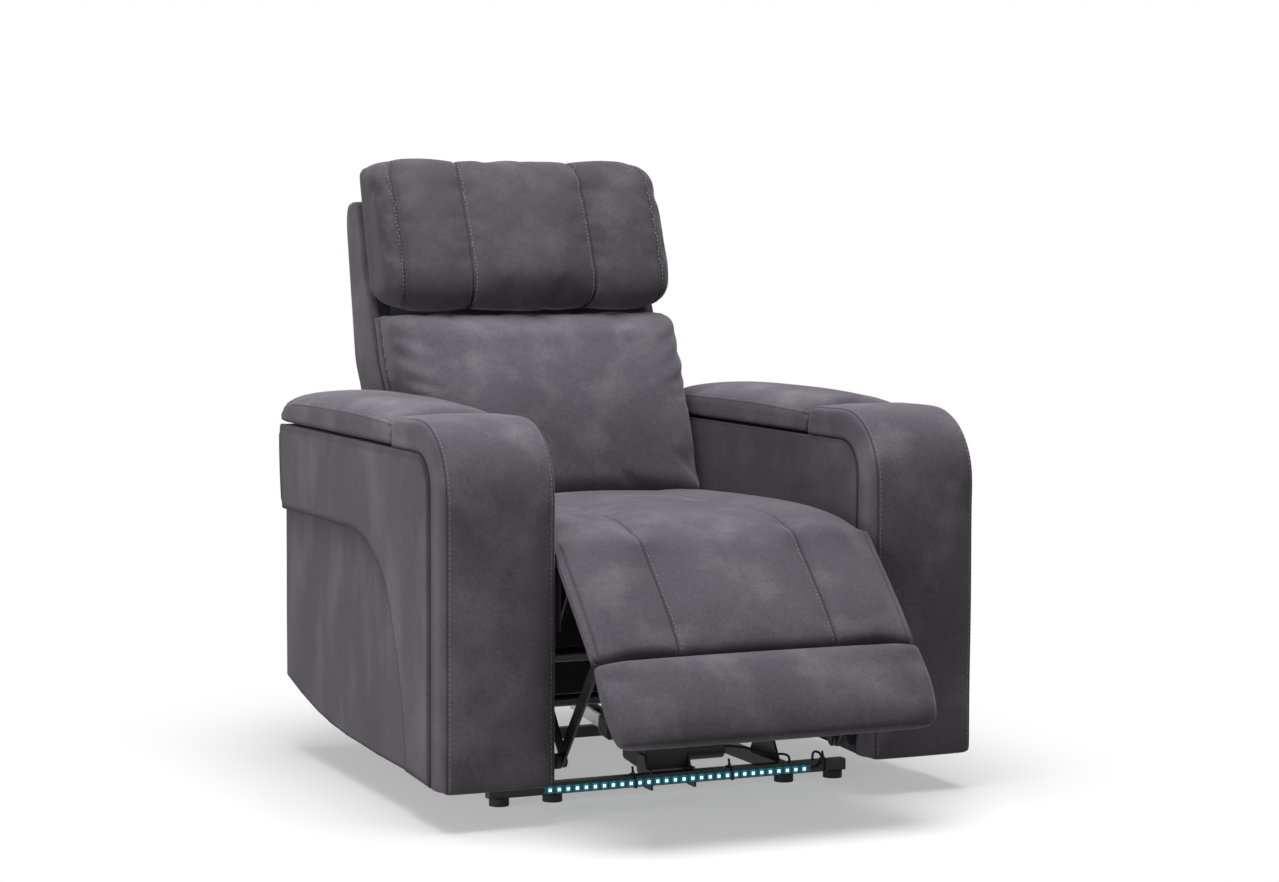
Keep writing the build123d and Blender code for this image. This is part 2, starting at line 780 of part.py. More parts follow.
def span(hand, inner, outer):
    """The plane and the extrusion amount for a piece between two distances from the middle."""
    return side(hand * inner), hand * (outer - inner)


def arm_outline(rear, bottom_drop=0.0):
    """The side of an arm, from behind the front band to the rear, with its rising bottom edge."""
    turn = band_turn
    return [(band_inner + turn + 1, arm_top), (band_inner + 0.3 * turn + 0.5, arm_top - 0.3 * turn - 0.5),
            (band_inner + 0.5, arm_top - turn - 1), (band_inner + 0.5, arm_front_bottom + 2 - bottom_drop),
            (155.0, 70.0 - bottom_drop), (477.0, 78.0 - bottom_drop), (636.0, 95.0 - bottom_drop),
            (rear, arm_rear_bottom - bottom_drop), (rear, arm_top)]


def arm_box(hand):
    """Plywood box: side walls on the arm's outline, front, rear and bottom boards, and the bin."""
    inner = arm_inner_x + inner_cover
    outer = arm_outer_x - side_panel - overlay_panel
    rear = arm_rear - rear_cover
    with BuildPart() as box:
        start, amount = span(hand, inner, outer)
        with BuildSketch(start):
            add(polygon(arm_outline(rear, -5.0)))
        extrude(amount=amount)
        start, amount = span(hand, inner + ply, outer - ply)
        with BuildSketch(start):
            add(polygon([(bin_partition, arm_top + 1), (bin_partition, bin_floor),
                         (rear - ply, bin_floor), (rear - ply, arm_top + 1)]))
        extrude(amount=amount, mode=Mode.SUBTRACT)
        with BuildSketch(start):
            add(polygon([(band_inner + ply, bin_floor - ply), (band_inner + ply, 86.0), (477.0, 98.0),
                         (rear - ply, 154.0), (rear - ply, bin_floor - ply)]))
        extrude(amount=amount, mode=Mode.SUBTRACT)
        with BuildSketch(start):
            with Locations(((band_inner + ply + bin_partition - ply) / 2, (bin_floor + arm_top) / 2)):
                Rectangle(bin_partition - band_inner - 2 * ply, arm_top - bin_floor - 2 * ply)
        extrude(amount=amount, mode=Mode.SUBTRACT)
    return box


swoosh_start = (430.0, swoosh_height)
swoosh_mid = (249.0, 364.0)
swoosh_end = (157.0, 71.0)


def overlay_panel_part(hand):
    """The raised outer panel with the swoosh edge, from the lid down to the front leg."""
    start, amount = span(hand, arm_outer_x - overlay_panel, arm_outer_x)
    with BuildPart() as panel:
        with BuildSketch(start):
            with BuildLine():
                top = Line((arm_bulge_rear, arm_top), (band_inner + band_turn + 1, arm_top))
                turn = ThreePointArc(top @ 1, (band_inner + 0.3 * band_turn + 0.5,
                                               arm_top - 0.3 * band_turn - 0.5),
                                     (band_inner + 0.5, arm_top - band_turn - 1))
                front = Line(turn @ 1, (band_inner + 0.5, arm_front_bottom))
                bottom = Line(front @ 1, swoosh_end)
                lower = ThreePointArc(bottom @ 1, (191.0, 236.0), swoosh_mid)
                upper = ThreePointArc(lower @ 1, (326.0, 421.0), swoosh_start)
                edge = Line(upper @ 1, (arm_rear + 1, swoosh_height))
                ThreePointArc(edge @ 1, (arm_bulge_rear - 2, 530.0), top @ 0)
            make_face()
        extrude(amount=amount)
        outer_face = panel.faces().sort_by(Axis.X)[-1 if hand > 0 else 0]
        curved = outer_face.edges().filter_by(GeomType.CIRCLE).filter_by_position(Axis.Z, 60.0, swoosh_height)
        chamfer(curved, 2.5)
    return panel


def side_panel_part(hand):
    """The flat outer side below and behind the raised panel."""
    outer = arm_outer_x - overlay_panel
    start, amount = span(hand, outer - side_panel, outer)
    with BuildPart() as panel:
        with BuildSketch(start):
            add(polygon(arm_outline(arm_rear)))
        extrude(amount=amount)
    return panel


bracket_depths = (200.0, 560.0)
bracket_length = 60.0
bracket_low = 340.0
bracket_high = 376.0


def window(depth, slack=1.0):
    return polygon([(depth - bracket_length / 2 - slack, bracket_low - slack),
                    (depth + bracket_length / 2 + slack, bracket_low - slack),
                    (depth + bracket_length / 2 + slack, bracket_high + slack),
                    (depth - bracket_length / 2 - slack, bracket_high + slack)])


button_depths = (172.0, 196.0, 220.0, 244.0)
button_drop = 47.0
button_height = arm_top - button_drop
button_size = 17.0
button_gap = 0.4
button_pocket = 7.5

with BuildPart() as arm_inner_panels:
    for hand in hands:
        start, amount = span(hand, arm_inner_x, arm_inner_x + inner_cover)
        with BuildSketch(start):
            add(polygon(arm_outline(arm_rear)))
            for depth in bracket_depths:
                add(window(depth), mode=Mode.SUBTRACT)
        extrude(amount=amount)
    with BuildSketch(side(-arm_inner_x)):
        with Locations(*[(depth, button_height) for depth in button_depths]):
            Rectangle(button_size + 2 * button_gap, button_size + 2 * button_gap)
    extrude(amount=-button_pocket, mode=Mode.SUBTRACT)
finish(arm_inner_panels, "arm_inner_panels")

rear_side_x = arm_inner_x + inner_cover
with BuildPart() as arm_rear_panels:
    for hand in hands:
        start, amount = span(hand, rear_side_x, arm_outer_x - side_panel - overlay_panel)
        with BuildSketch(start):
            add(polygon([(arm_rear - rear_cover, arm_rear_bottom), (arm_rear, arm_rear_bottom),
                         (arm_rear, arm_top), (arm_rear - rear_cover, arm_top)]))
        extrude(amount=amount)
        start, amount = span(hand, arm_inner_x, arm_outer_x - overlay_panel)
        with BuildSketch(start):
            with BuildLine():
                back = ThreePointArc((arm_rear + 1, swoosh_height), (arm_bulge_rear - 2, 530.0),
                                     (arm_bulge_rear, arm_top))
                Polyline(back @ 1, (arm_rear, arm_top), (arm_rear, swoosh_height), back @ 0)
            make_face()
        extrude(amount=amount)
finish(arm_rear_panels, "arm_rear_panels")

with BuildPart() as arm_brackets:
    for hand in hands:
        start, amount = span(hand, rail_inner_x + side_rail, arm_inner_x + inner_cover)
        with BuildSketch(start):
            for depth in bracket_depths:
                add(window(depth, 0.0))
        extrude(amount=amount)
finish(arm_brackets, "arm_brackets")


def front_band_part(hand):
    """The padded band over the arm's front: a cap on top and a leg down to the bottom edge."""
    crown = arm_top + band_height
    start, amount = span(hand, arm_inner_x, arm_outer_x)
    centre = (band_outer + band_radius, crown - band_radius)
    with BuildPart() as band:
        with BuildSketch(start):
            with BuildLine():
                cap = Line((band_cap_rear, crown - 1), (centre[0], crown))
                corner = ThreePointArc(cap @ 1, along(centre, 135.0, band_radius), (band_outer, centre[1]))
                leg = Line(corner @ 1, (band_outer, arm_front_bottom))
                foot = Line(leg @ 1, (band_inner, arm_front_bottom))
                inside = Line(foot @ 1, (band_inner, arm_top - band_turn))
                turn = ThreePointArc(inside @ 1, (band_inner + 0.3 * band_turn, arm_top - 0.3 * band_turn),
                                     (band_inner + band_turn, arm_top))
                under = Line(turn @ 1, (band_cap_rear, arm_top))
                Line(under @ 1, cap @ 0)
            make_face()
        extrude(amount=amount)
        rims = [edge for edge in band.faces().filter_by(Axis.X).edges()
                if (edge.center().Z > arm_top + 10 or edge.center().Y < front_y)
                and edge.center().Y < front_y + band_cap_rear - 5]
        chamfer(rims, band_edge)
    return band


def lid_profile(inset):
    """The side of a lid pad: flat below, with rounded top corners."""
    low = arm_top + lid_gap
    high = low + lid_edge_height + lid_crown - inset
    with BuildSketch(mode=Mode.PRIVATE) as outline:
        with BuildLine():
            front = Line((lid_front, low), (lid_front, high - 12))
            nose = Polyline(front @ 1, (lid_front + 3.5, high - 3.5), (lid_front + 12, high))
            top = ThreePointArc(nose @ 1, ((lid_front + lid_rear) / 2, high + 2), (lid_rear - 24, high - 6))
            Polyline(top @ 1, (lid_rear - 3, high - 15), (lid_rear + 5, high - 34), (lid_rear + 1, low + 8),
                     (lid_rear, low), front @ 0)
        make_face()
    return outline.sketch


lid_board_front = lid_front + 6
lid_board_rear = lid_rear - 4
lid_board_inset = 10.0


def lid_pad_part(hand):
    middle = hand * (arm_inner_x + arm_outer_x) / 2
    half = arm_width / 2
    stations = [(half * 0.3, 1.0), (half - 16, 9.0), (half - 4, 14.0), (half, 22.0)]
    pad = crowned(lid_profile, [(middle + x, inset) for x, inset in mirrored(stations)])
    with BuildPart() as hollowed:
        add(pad.part)
        start, amount = span(hand, arm_inner_x + lid_board_inset, arm_outer_x - lid_board_inset)
        with BuildSketch(start):
            add(polygon([(lid_board_front, arm_top), (lid_rear + 9, arm_top),
                         (lid_rear + 9, arm_top + lid_gap + 8),
                         (lid_rear, arm_top + lid_gap + lid_board_thickness),
                         (lid_board_front, arm_top + lid_gap + lid_board_thickness)]))
        extrude(amount=amount, mode=Mode.SUBTRACT)
    return hollowed


def lid_board_part(hand):
    start, amount = span(hand, arm_inner_x + lid_board_inset, arm_outer_x - lid_board_inset)
    low = arm_top + lid_gap
    with BuildPart() as lid_board:
        with BuildSketch(start):
            add(polygon([(lid_board_front, low), (lid_board_rear, low),
                         (lid_board_rear, low + lid_board_thickness),
                         (lid_board_front, low + lid_board_thickness)]))
        extrude(amount=amount)
    return lid_board


knuckle = 3.4
leaf = 1.5
knuckle_width = 40.0
hinge_pin = 1.3
lid_axis = (lid_rear + 5.5, arm_top + lid_gap / 2)


def knuckles(hand, positions, bored):
    middle = hand * (arm_inner_x + arm_outer_x) / 2
    with BuildPart() as barrel:
        for k in positions:
            with BuildSketch(side(middle + (k - 1.5) * knuckle_width + 0.1)):
                with Locations(lid_axis):
                    RegularPolygon(knuckle, end_corners)
                    if bored:
                        Circle(hinge_pin + running_fit, mode=Mode.SUBTRACT)
            extrude(amount=knuckle_width - 0.2)
            with BuildSketch(side(middle + (k - 1.5) * knuckle_width + 0.1)):
                if bored:
                    with Locations((lid_axis[0] - 4.3, lid_axis[1] + 2.2)):
                        Rectangle(5.4, 1.6)
                else:
                    with Locations((lid_axis[0] - 2.3, lid_axis[1] - 2.6)):
                        Rectangle(3.4, 1.6)
            extrude(amount=knuckle_width - 0.2)
    return barrel


def moving_hinge(hand):
    """The leaf that is screwed to the lid board's rear edge, with its bored knuckles."""
    middle = hand * (arm_inner_x + arm_outer_x) / 2
    with BuildPart() as half_hinge:
        add(knuckles(hand, (1,), True).part)
        with BuildSketch(side(middle - 1.5 * knuckle_width)):
            with Locations((lid_board_rear + leaf / 2, arm_top + lid_gap + 5)):
                Rectangle(leaf, 10.0)
            with Locations((lid_board_rear + 3.0, arm_top + lid_gap + 0.9)):
                Rectangle(6.0, 1.6)
        extrude(amount=3 * knuckle_width)
    return half_hinge


with BuildPart() as lid_hinge_leaves:
    for hand in hands:
        middle = hand * (arm_inner_x + arm_outer_x) / 2
        add(knuckles(hand, (0, 2), False).part)
        with BuildSketch(side(middle - knuckle_width)):
            with Locations(lid_axis):
                Circle(hinge_pin)
        extrude(amount=2 * knuckle_width)
        with BuildSketch(side(middle - 1.5 * knuckle_width)):
            with Locations((arm_bulge_rear + 0.4 + leaf / 2, arm_top - 14)):
                Rectangle(leaf, 26.0)
        extrude(amount=3 * knuckle_width)
finish(lid_hinge_leaves, "lid_hinge_leaves")

for hand, tag in zip(hands, ("right", "left")):
    finish(arm_box(hand), f"arm_box_{tag}")
    finish(side_panel_part(hand), f"arm_side_panel_{tag}")
    finish(overlay_panel_part(hand), f"arm_overlay_panel_{tag}")
    finish(front_band_part(hand), f"arm_front_band_{tag}")
    finish(lid_board_part(hand), f"lid_board_{tag}")
    finish(lid_pad_part(hand), f"lid_pad_{tag}")
    finish(moving_hinge(hand), f"lid_hinge_{tag}")

# ---------------------------------------------------------------- control panel
bezel_margin = 7.0
bezel_thickness = 2.5
button_proud = 1.5
button_travel = 1.5
with BuildPart() as control_bezel:
    bezel_length = button_depths[-1] - button_depths[0] + button_size + 2 * bezel_margin
    with BuildSketch(side(-arm_inner_x)) as bezel_face:
        with Locations(((button_depths[0] + button_depths[-1]) / 2, button_height)):
            Rectangle(bezel_length, button_size + 2 * bezel_margin)
        chamfer(bezel_face.vertices(), 4.0)
        with Locations(*[(depth, button_height) for depth in button_depths]):
            Rectangle(button_size + 2 * button_gap, button_size + 2 * button_gap, mode=Mode.SUBTRACT)
    extrude(amount=bezel_thickness)
finish(control_bezel, "control_bezel")

button_names = ("button_open", "button_close", "button_headrest_up", "button_headrest_down")
button_body = button_pocket - button_travel - 0.3
for depth, label in zip(button_depths, button_names):
    with BuildPart() as push_button:
        with BuildSketch(side(-arm_inner_x - button_body)) as button_face:
            with Locations((depth, button_height)):
                Rectangle(button_size, button_size)
            chamfer(button_face.vertices(), 2.0)
        extrude(amount=button_body + bezel_thickness + button_proud)
        chamfer(push_button.faces().sort_by(Axis.X)[-1].edges(), 0.6)
    finish(push_button, label)

# ---------------------------------------------------------------- back
def lumbar_profile(inset):
    crown = 34.0 - inset
    with BuildSketch(mode=Mode.PRIVATE) as outline:
        with BuildLine():
            low = lumbar_bottom + inset / 3
            high = lumbar_top - inset / 2
            face = Polyline(on_back(low, 1.0 + inset / 2), on_back(500.0, -0.62 * crown),
                            on_back(575.0, -crown), on_back(660.0, -crown), on_back(725.0, -0.62 * crown),
                            on_back(lumbar_top - 34, -2.0 + inset / 2))
            Polyline(face @ 1, on_back(high - 12, 12.0 + inset / 2), on_back(high, 40.0),
                     on_back(high - 3, lumbar_thickness - 8), on_back(lumbar_bottom + 18, lumbar_thickness),
                     on_back(low, lumbar_thickness - 12), face @ 0)
        make_face()
    return outline.sketch


lumbar_stations = mirrored([(110.0, 1.0), (235.0, 14.0), (270.0, 24.0), (286.0, 40.0)])
lumbar_cushion = crowned(lumbar_profile, lumbar_stations)
finish(lumbar_cushion, "lumbar_cushion")

upright_x = crank_x + plate + 0.5
upright_width = 24.0
frame_foot = 372.0


def upright_outline():
    clear = shell_wall + 3.0
    return [(735.0, frame_foot), on_back(470.0, lumbar_thickness + 2), on_back(790.0, lumbar_thickness + 2),
            (head_hinge[0] + 96.0, head_hinge[1] + 4), on_shell(975.0, -48.0), on_shell(975.0, -clear),
            on_shell(frame_foot + 60, -clear - 30), (792.0, frame_foot)]


def recline_bracket():
    return lobe(back_pivot, 18.0, (766.0, 402.0), (46.0, 52.0))


def headrest_bracket():
    return lobe(head_hinge, link_eye, (head_hinge[0] + 118, head_hinge[1] - 22), (30.0, 40.0))


rail_heights = ((376.0, 436.0), (585.0, 635.0), (800.0, 850.0), (925.0, 970.0))
with BuildPart() as back_frame:
    for hand in hands:
        with BuildSketch(side(hand * upright_x)):
            add(polygon(upright_outline()))
        extrude(amount=hand * upright_width)
    for low, high in rail_heights:
        middle = (low + high) / 2
        with BuildSketch(side(-upright_x)) as band:
            add(polygon(upright_outline()))
            with Locations((850.0, middle)):
                Rectangle(600.0, high - low, mode=Mode.INTERSECT)
            rear_edge = band.sketch.bounding_box().max.Y - front_y
            with Locations((rear_edge - 320.0, middle)):
                Rectangle(600.0, high - low, mode=Mode.SUBTRACT)
        extrude(amount=2 * upright_x)
    for hand in hands:
        with BuildSketch(side(hand * crank_x)):
            add(recline_bracket())
            add(headrest_bracket())
        extrude(amount=hand * (upright_x - crank_x), mode=Mode.SUBTRACT)
finish(back_frame, "back_frame")

shell_half = cushion_half_width - 1.0
with BuildPart() as back_shell:
    with BuildSketch(side(-shell_half)):
        add(polygon(shell_outline(0.0)))
    extrude(amount=2 * shell_half)
    rear_rims = [edge for edge in back_shell.faces().filter_by(Axis.X).edges()
                 if edge.center().Y > front_y + 900 and edge.length > 200]
    fillet(rear_rims, 8.0)
    with BuildSketch(side(-shell_half + shell_wall)):
        add(polygon(shell_outline(shell_wall)))
    extrude(amount=2 * (shell_half - shell_wall), mode=Mode.SUBTRACT)
finish(back_shell, "back_shell")

with BuildPart() as back_brackets:
    for hand in hands:
        with BuildSketch(side(hand * crank_x)):
            add(recline_bracket())
            with Locations(back_pivot):
                Circle(pin_radius + running_fit, mode=Mode.SUBTRACT)
        extrude(amount=hand * plate)
        with BuildSketch(side(hand * crank_x)):
            add(headrest_bracket())
        extrude(amount=hand * plate)
        with BuildSketch(side(hand * (crank_x + plate))):
            with Locations((775.0, 402.0), (head_hinge[0] + 120, head_hinge[1] - 22)):
                RegularPolygon(7.0, 6)
        extrude(amount=hand * 0.5)
        with BuildSketch(side(hand * (head_arm_x - 0.2))):
            with Locations(head_hinge):
                Circle(pin_radius)
        extrude(amount=hand * (crank_x - head_arm_x + 0.2))
        with BuildSketch(side(hand * (head_arm_x - 1.7))):
            with Locations(head_hinge):
                RegularPolygon(9.0, 6)
        extrude(amount=hand * 1.5)
finish(back_brackets, "back_brackets")

# ---------------------------------------------------------------- headrest
head_normal = 180.0 - head_lean
head_rear_clear = 3.0


def on_head(distance, height):
    """A point by its distance up the headrest's face and its height over the hinge."""
    return along(along(head_hinge, head_normal, height), 90.0 - head_lean, distance)


head_rear_low = (head_hinge[0] + 92.0, head_hinge[1] + 6.0)
head_rear_high = (957.0, 1060.0)
head_board_thickness = 12.0


def head_profile(inset):
    radius = head_roll - inset
    with BuildSketch(mode=Mode.PRIVATE) as outline:
        with BuildLine():
            roll = Polyline(*facets(head_hinge, radius, 270.0, head_normal))
            face = Polyline(roll @ 1, on_head(head_length * 0.25, radius + 10 - inset / 3),
                            on_head(head_length * 0.5, radius + 14 - inset / 2),
                            on_head(head_length * 0.75, radius + 10 - inset / 3),
                            on_head(head_length - 6, radius), on_head(head_length + 14, radius - 12),
                            on_head(head_length + 22 - inset / 3, radius - 48))
            board_top = head_rear_high[0] - head_board_thickness
            Polyline(face @ 1, (board_top - 8, head_rear_high[1] + 18 - inset / 2),
                     (board_top, head_rear_high[1] - 2),
                     (head_rear_low[0] - head_board_thickness, head_rear_low[1]),
                     (head_hinge[0] + 66.0, head_hinge[1] - 32.0 + inset / 2), roll @ 0)
        make_face()
    return outline.sketch


head_channel_x = 122.0
head_stations = mirrored([(head_channel_x - 18, 0.5), (head_channel_x, 7.0),
                          (head_channel_x + 18, 1.0), (266.0, 5.0), (290.0, 18.0)])
head_cushion = crowned(head_profile, head_stations)
slot_clear = 5.0
with BuildPart() as headrest_cushion:
    add(head_cushion.part)
    for hand in hands:
        with BuildSketch(side(hand * (head_arm_x - slot_clear))):
            with Locations(head_hinge):
                RegularPolygon(link_eye + 6, end_corners)
            with Locations((head_rear_low[0] + 10, head_hinge[1])):
                Rectangle(20.0, 200.0)
            with Locations((head_hinge[0] + 45, head_hinge[1] - 70)):
                Rectangle(70.0, 20.0)
            make_hull()
        extrude(amount=hand * (crank_x + plate + slot_clear - head_arm_x + slot_clear), mode=Mode.SUBTRACT)
finish(headrest_cushion, "headrest_cushion")

board_start = 22.0
head_board_slack = 0.6
head_board_half = cushion_half_width - 10.0
board_rise = (head_rear_high[0] - head_rear_low[0]) / (head_rear_high[1] - head_rear_low[1])
with BuildPart() as headrest_board:
    with BuildSketch(side(-head_board_half)):
        low_z = head_rear_low[1] + board_start
        low_d = head_rear_low[0] + board_start * board_rise
        high_z = head_rear_high[1] - 4
        high_d = head_rear_high[0] - 4 * board_rise
        front = head_board_thickness - head_board_slack
        add(polygon([(low_d, low_z), (high_d, high_z), (high_d - front, high_z), (low_d - front, low_z)]))
    extrude(amount=2 * head_board_half)
finish(headrest_board, "headrest_board")

board_face = low_d - head_board_thickness + head_board_slack
arm_root = 44.0
with BuildPart() as headrest_arms:
    for hand in hands:
        with BuildSketch(side(hand * head_arm_x)):
            with Locations(head_hinge):
                RegularPolygon(link_eye, end_corners)
            add(polygon([(board_face, low_z), (board_face - 2, low_z),
                         (board_face + arm_root * board_rise - 2, low_z + arm_root),
                         (board_face + arm_root * board_rise, low_z + arm_root)]))
            make_hull()
            with Locations(head_hinge):
                Circle(pin_radius + running_fit, mode=Mode.SUBTRACT)
        extrude(amount=hand * plate)
finish(headrest_arms, "headrest_arms")
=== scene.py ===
import json
import math

import bmesh
import bpy
import numpy as np
from mathutils import Euler, Matrix, Vector
from mathutils.bvhtree import BVHTree


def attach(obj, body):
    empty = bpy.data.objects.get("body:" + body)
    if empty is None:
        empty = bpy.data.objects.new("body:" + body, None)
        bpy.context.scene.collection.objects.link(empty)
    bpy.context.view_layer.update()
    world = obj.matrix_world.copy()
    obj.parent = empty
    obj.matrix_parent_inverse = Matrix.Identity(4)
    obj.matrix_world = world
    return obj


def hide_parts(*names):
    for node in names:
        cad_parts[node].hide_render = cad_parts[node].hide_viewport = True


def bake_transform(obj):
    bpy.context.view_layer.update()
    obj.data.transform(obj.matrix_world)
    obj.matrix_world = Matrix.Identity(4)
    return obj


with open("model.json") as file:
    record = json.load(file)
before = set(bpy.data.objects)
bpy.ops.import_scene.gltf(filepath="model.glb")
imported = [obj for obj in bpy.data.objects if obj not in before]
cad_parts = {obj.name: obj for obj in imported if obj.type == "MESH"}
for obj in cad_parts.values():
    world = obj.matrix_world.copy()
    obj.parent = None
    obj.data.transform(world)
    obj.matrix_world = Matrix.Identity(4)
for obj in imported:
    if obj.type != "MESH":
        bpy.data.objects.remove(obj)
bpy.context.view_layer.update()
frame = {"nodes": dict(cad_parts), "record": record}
scene = bpy.context.scene
nodes = frame["nodes"]
frontLine = -0.366375      # model Y of the arms' front line; depths below count back from it


def place(x, depth, height):
    return Vector((x, frontLine + depth, height))


def placed(name, data):
    body = bpy.data.objects.new(name, data)
    scene.collection.objects.link(body)
    return body


# camera, floor and light
camera = {"spot": (-2.102, -4.6744, 0.986), "yaw": 24.53, "pitch": 4.42, "roll": 0.25, "lens": 81.71}
light = {"worldFill": 0.19, "floorSeen": (0.95, 0.95, 0.95), "floorBounce": (0.26, 0.26, 0.26),
         "floorRadius": 9.0, "whiteFrom": (0.62, 1.25), "leastWhite": 0.38}
lamps = [
    {"name": "topSoftbox", "spot": (-0.1, -0.25, 3.4), "aim": (0.0, 0.0, 0.4), "size": 2.6, "watts": 140.0},
    {"name": "leftSoftbox", "spot": (-3.6, -1.3, 0.62), "aim": (0.0, 0.0, 0.45), "size": 1.0, "watts": 52.0},
]


def aimed(spot, aim):
    return (Vector(aim) - Vector(spot)).to_track_quat("-Z", "Y").to_euler()


def makeCamera():
    data = bpy.data.cameras.new("photoCamera")
    data.sensor_width = 36.0
    data.sensor_fit = "HORIZONTAL"
    data.lens = camera["lens"]
    data.clip_end = 60.0
    body = placed("photoCamera", data)
    body.location = camera["spot"]
    turn = Euler((math.radians(90.0 - camera["pitch"]), 0.0, math.radians(-camera["yaw"])), "XYZ")
    roll = Matrix.Rotation(math.radians(camera["roll"]), 4, "Z")
    body.rotation_euler = (turn.to_matrix().to_4x4() @ roll).to_euler()
    scene.camera = body


def makeLights():
    for lamp in lamps:
        data = bpy.data.lights.new(lamp["name"], "AREA")
        data.size = lamp["size"]
        data.energy = lamp["watts"]
        body = placed(lamp["name"], data)
        body.location = lamp["spot"]
        body.rotation_euler = aimed(lamp["spot"], lamp["aim"])


def newNode(tree, kind, **inputs):
    made = tree.nodes.new(kind)
    for key, value in inputs.items():
        if hasattr(made, key):
            setattr(made, key, value)
        else:
            made.inputs[key.replace("_", " ")].default_value = value
    return made


def wire(tree, *pairs):
    for source, target in pairs:
        tree.links.new(source, target)


def worked(tree, operation, first, second=None):
    # one Math node: first comes from a socket, second from a socket or a number
    made = newNode(tree, "ShaderNodeMath", operation=operation)
    tree.links.new(first, made.inputs[0])
    if isinstance(second, float):
        made.inputs[1].default_value = second
    elif second is not None:
        tree.links.new(second, made.inputs[1])
    return made.outputs[0]


def seenDirectly(tree):
    # 1 for rays that show the background: the camera's, mirrored ones and those through glass
    path = tree.nodes.new("ShaderNodeLightPath").outputs
    seen = worked(tree, "MAXIMUM", path["Is Camera Ray"], path["Is Glossy Ray"])
    return worked(tree, "MAXIMUM", seen, path["Is Transmission Ray"])


def makeWorld():
    world = bpy.data.worlds.new("studioWorld")
    scene.world = world
    world.use_nodes = True
    tree = world.node_tree
    tree.nodes.clear()
    shown = newNode(tree, "ShaderNodeBackground", Strength=1.0)
    fill = newNode(tree, "ShaderNodeBackground", Strength=light["worldFill"])
    mix = tree.nodes.new("ShaderNodeMixShader")
    out = tree.nodes.new("ShaderNodeOutputWorld")
    for source in (shown, fill):
        source.inputs["Color"].default_value = (1, 1, 1, 1)
    wire(tree, (seenDirectly(tree), mix.inputs[0]), (fill.outputs[0], mix.inputs[1]),
         (shown.outputs[0], mix.inputs[2]), (mix.outputs[0], out.inputs["Surface"]))


def makeFloor():
    # a pale disc that keeps the shadow near the seat and turns into the white background away from it; even
    # near the seat a share of it glows white to the camera, painted light that lifts the shadow
    mesh = bpy.data.meshes.new("studioFloor")
    bm = bmesh.new()
    bmesh.ops.create_circle(bm, cap_ends=True, segments=96, radius=light["floorRadius"])
    bm.to_mesh(mesh)
    bm.free()
    body = placed("studioFloor", mesh)
    finish = bpy.data.materials.new("floorPaper")
    finish.use_nodes = True
    tree = finish.node_tree
    tree.nodes.clear()
    where = tree.nodes.new("ShaderNodeTexCoord")
    away = newNode(tree, "ShaderNodeVectorMath", operation="LENGTH")
    fade = newNode(tree, "ShaderNodeMapRange", interpolation_type="SMOOTHSTEP")
    fade.inputs["From Min"].default_value, fade.inputs["From Max"].default_value = light["whiteFrom"]
    # painted light: this least share of glowing white lifts the floor's shadow under and beside the seat
    fade.inputs["To Min"].default_value = light["leastWhite"]
    wire(tree, (where.outputs["Object"], away.inputs[0]), (away.outputs["Value"], fade.inputs["Value"]))
    whiteShare = worked(tree, "MULTIPLY", fade.outputs["Result"], seenDirectly(tree))
    paper, bounce = tree.nodes.new("ShaderNodeBsdfDiffuse"), tree.nodes.new("ShaderNodeBsdfDiffuse")
    paper.inputs["Color"].default_value = (*light["floorSeen"], 1)
    bounce.inputs["Color"].default_value = (*light["floorBounce"], 1)
    white = newNode(tree, "ShaderNodeEmission", Strength=1.0)
    near, mix = tree.nodes.new("ShaderNodeMixShader"), tree.nodes.new("ShaderNodeMixShader")
    out = tree.nodes.new("ShaderNodeOutputMaterial")
    wire(tree, (seenDirectly(tree), near.inputs[0]), (bounce.outputs[0], near.inputs[1]),
         (paper.outputs[0], near.inputs[2]), (whiteShare, mix.inputs[0]), (near.outputs[0], mix.inputs[1]),
         (white.outputs[0], mix.inputs[2]), (mix.outputs[0], out.inputs["Surface"]))
    mesh.materials.append(finish)


makeCamera()
makeLights()
makeWorld()
makeFloor()
scene.view_settings.view_transform = "Standard"
print("camera, light and floor are in place")


# finishes
def shaderOf(name):
    # a finish, its tree, its shader and the piece's own coordinates
    finish = bpy.data.materials.new(name)
    finish.use_nodes = True
    tree = finish.node_tree
    return finish, tree, tree.nodes["Principled BSDF"], tree.nodes.new("ShaderNodeTexCoord").outputs["Object"]


def feed(tree, shader, sources):
    # every input named gets a socket or a constant
    for key, value in sources.items():
        if isinstance(value, bpy.types.NodeSocket):
            tree.links.new(value, shader.inputs[key])
        else:
            shader.inputs[key].default_value = value


def noiseAt(tree, coords, scale, detail=2.0, roughness=0.5, distortion=0.0):
    made = newNode(tree, "ShaderNodeTexNoise", Scale=scale, Detail=detail, Roughness=roughness,
                   Distortion=distortion)
    tree.links.new(coords, made.inputs["Vector"])
    return made.outputs["Fac"]


def ranged(tree, value, low, high, toLow=0.0, toHigh=1.0):
    made = newNode(tree, "ShaderNodeMapRange")
    for key, number in (("From Min", low), ("From Max", high), ("To Min", toLow), ("To Max", toHigh)):
        made.inputs[key].default_value = number
    tree.links.new(value, made.inputs["Value"])
    return made.outputs["Result"]


def blended(tree, factor, first, second):
    made = newNode(tree, "ShaderNodeMix", data_type="RGBA")
    tree.links.new(factor, made.inputs["Factor"])
    for key, value in (("A", first), ("B", second)):
        socket = [s for s in made.inputs if s.name == key and s.type == "RGBA"][0]
        if isinstance(value, tuple):
            socket.default_value = (*value, 1.0)
        else:
            tree.links.new(value, socket)
    return [s for s in made.outputs if s.type == "RGBA"][0]


def bumped(tree, height, strength, distance, onto=None):
    made = newNode(tree, "ShaderNodeBump", Strength=strength, Distance=distance)
    tree.links.new(height, made.inputs["Height"])
    if onto is not None:
        tree.links.new(onto, made.inputs["Normal"])
    return made.outputs["Normal"]


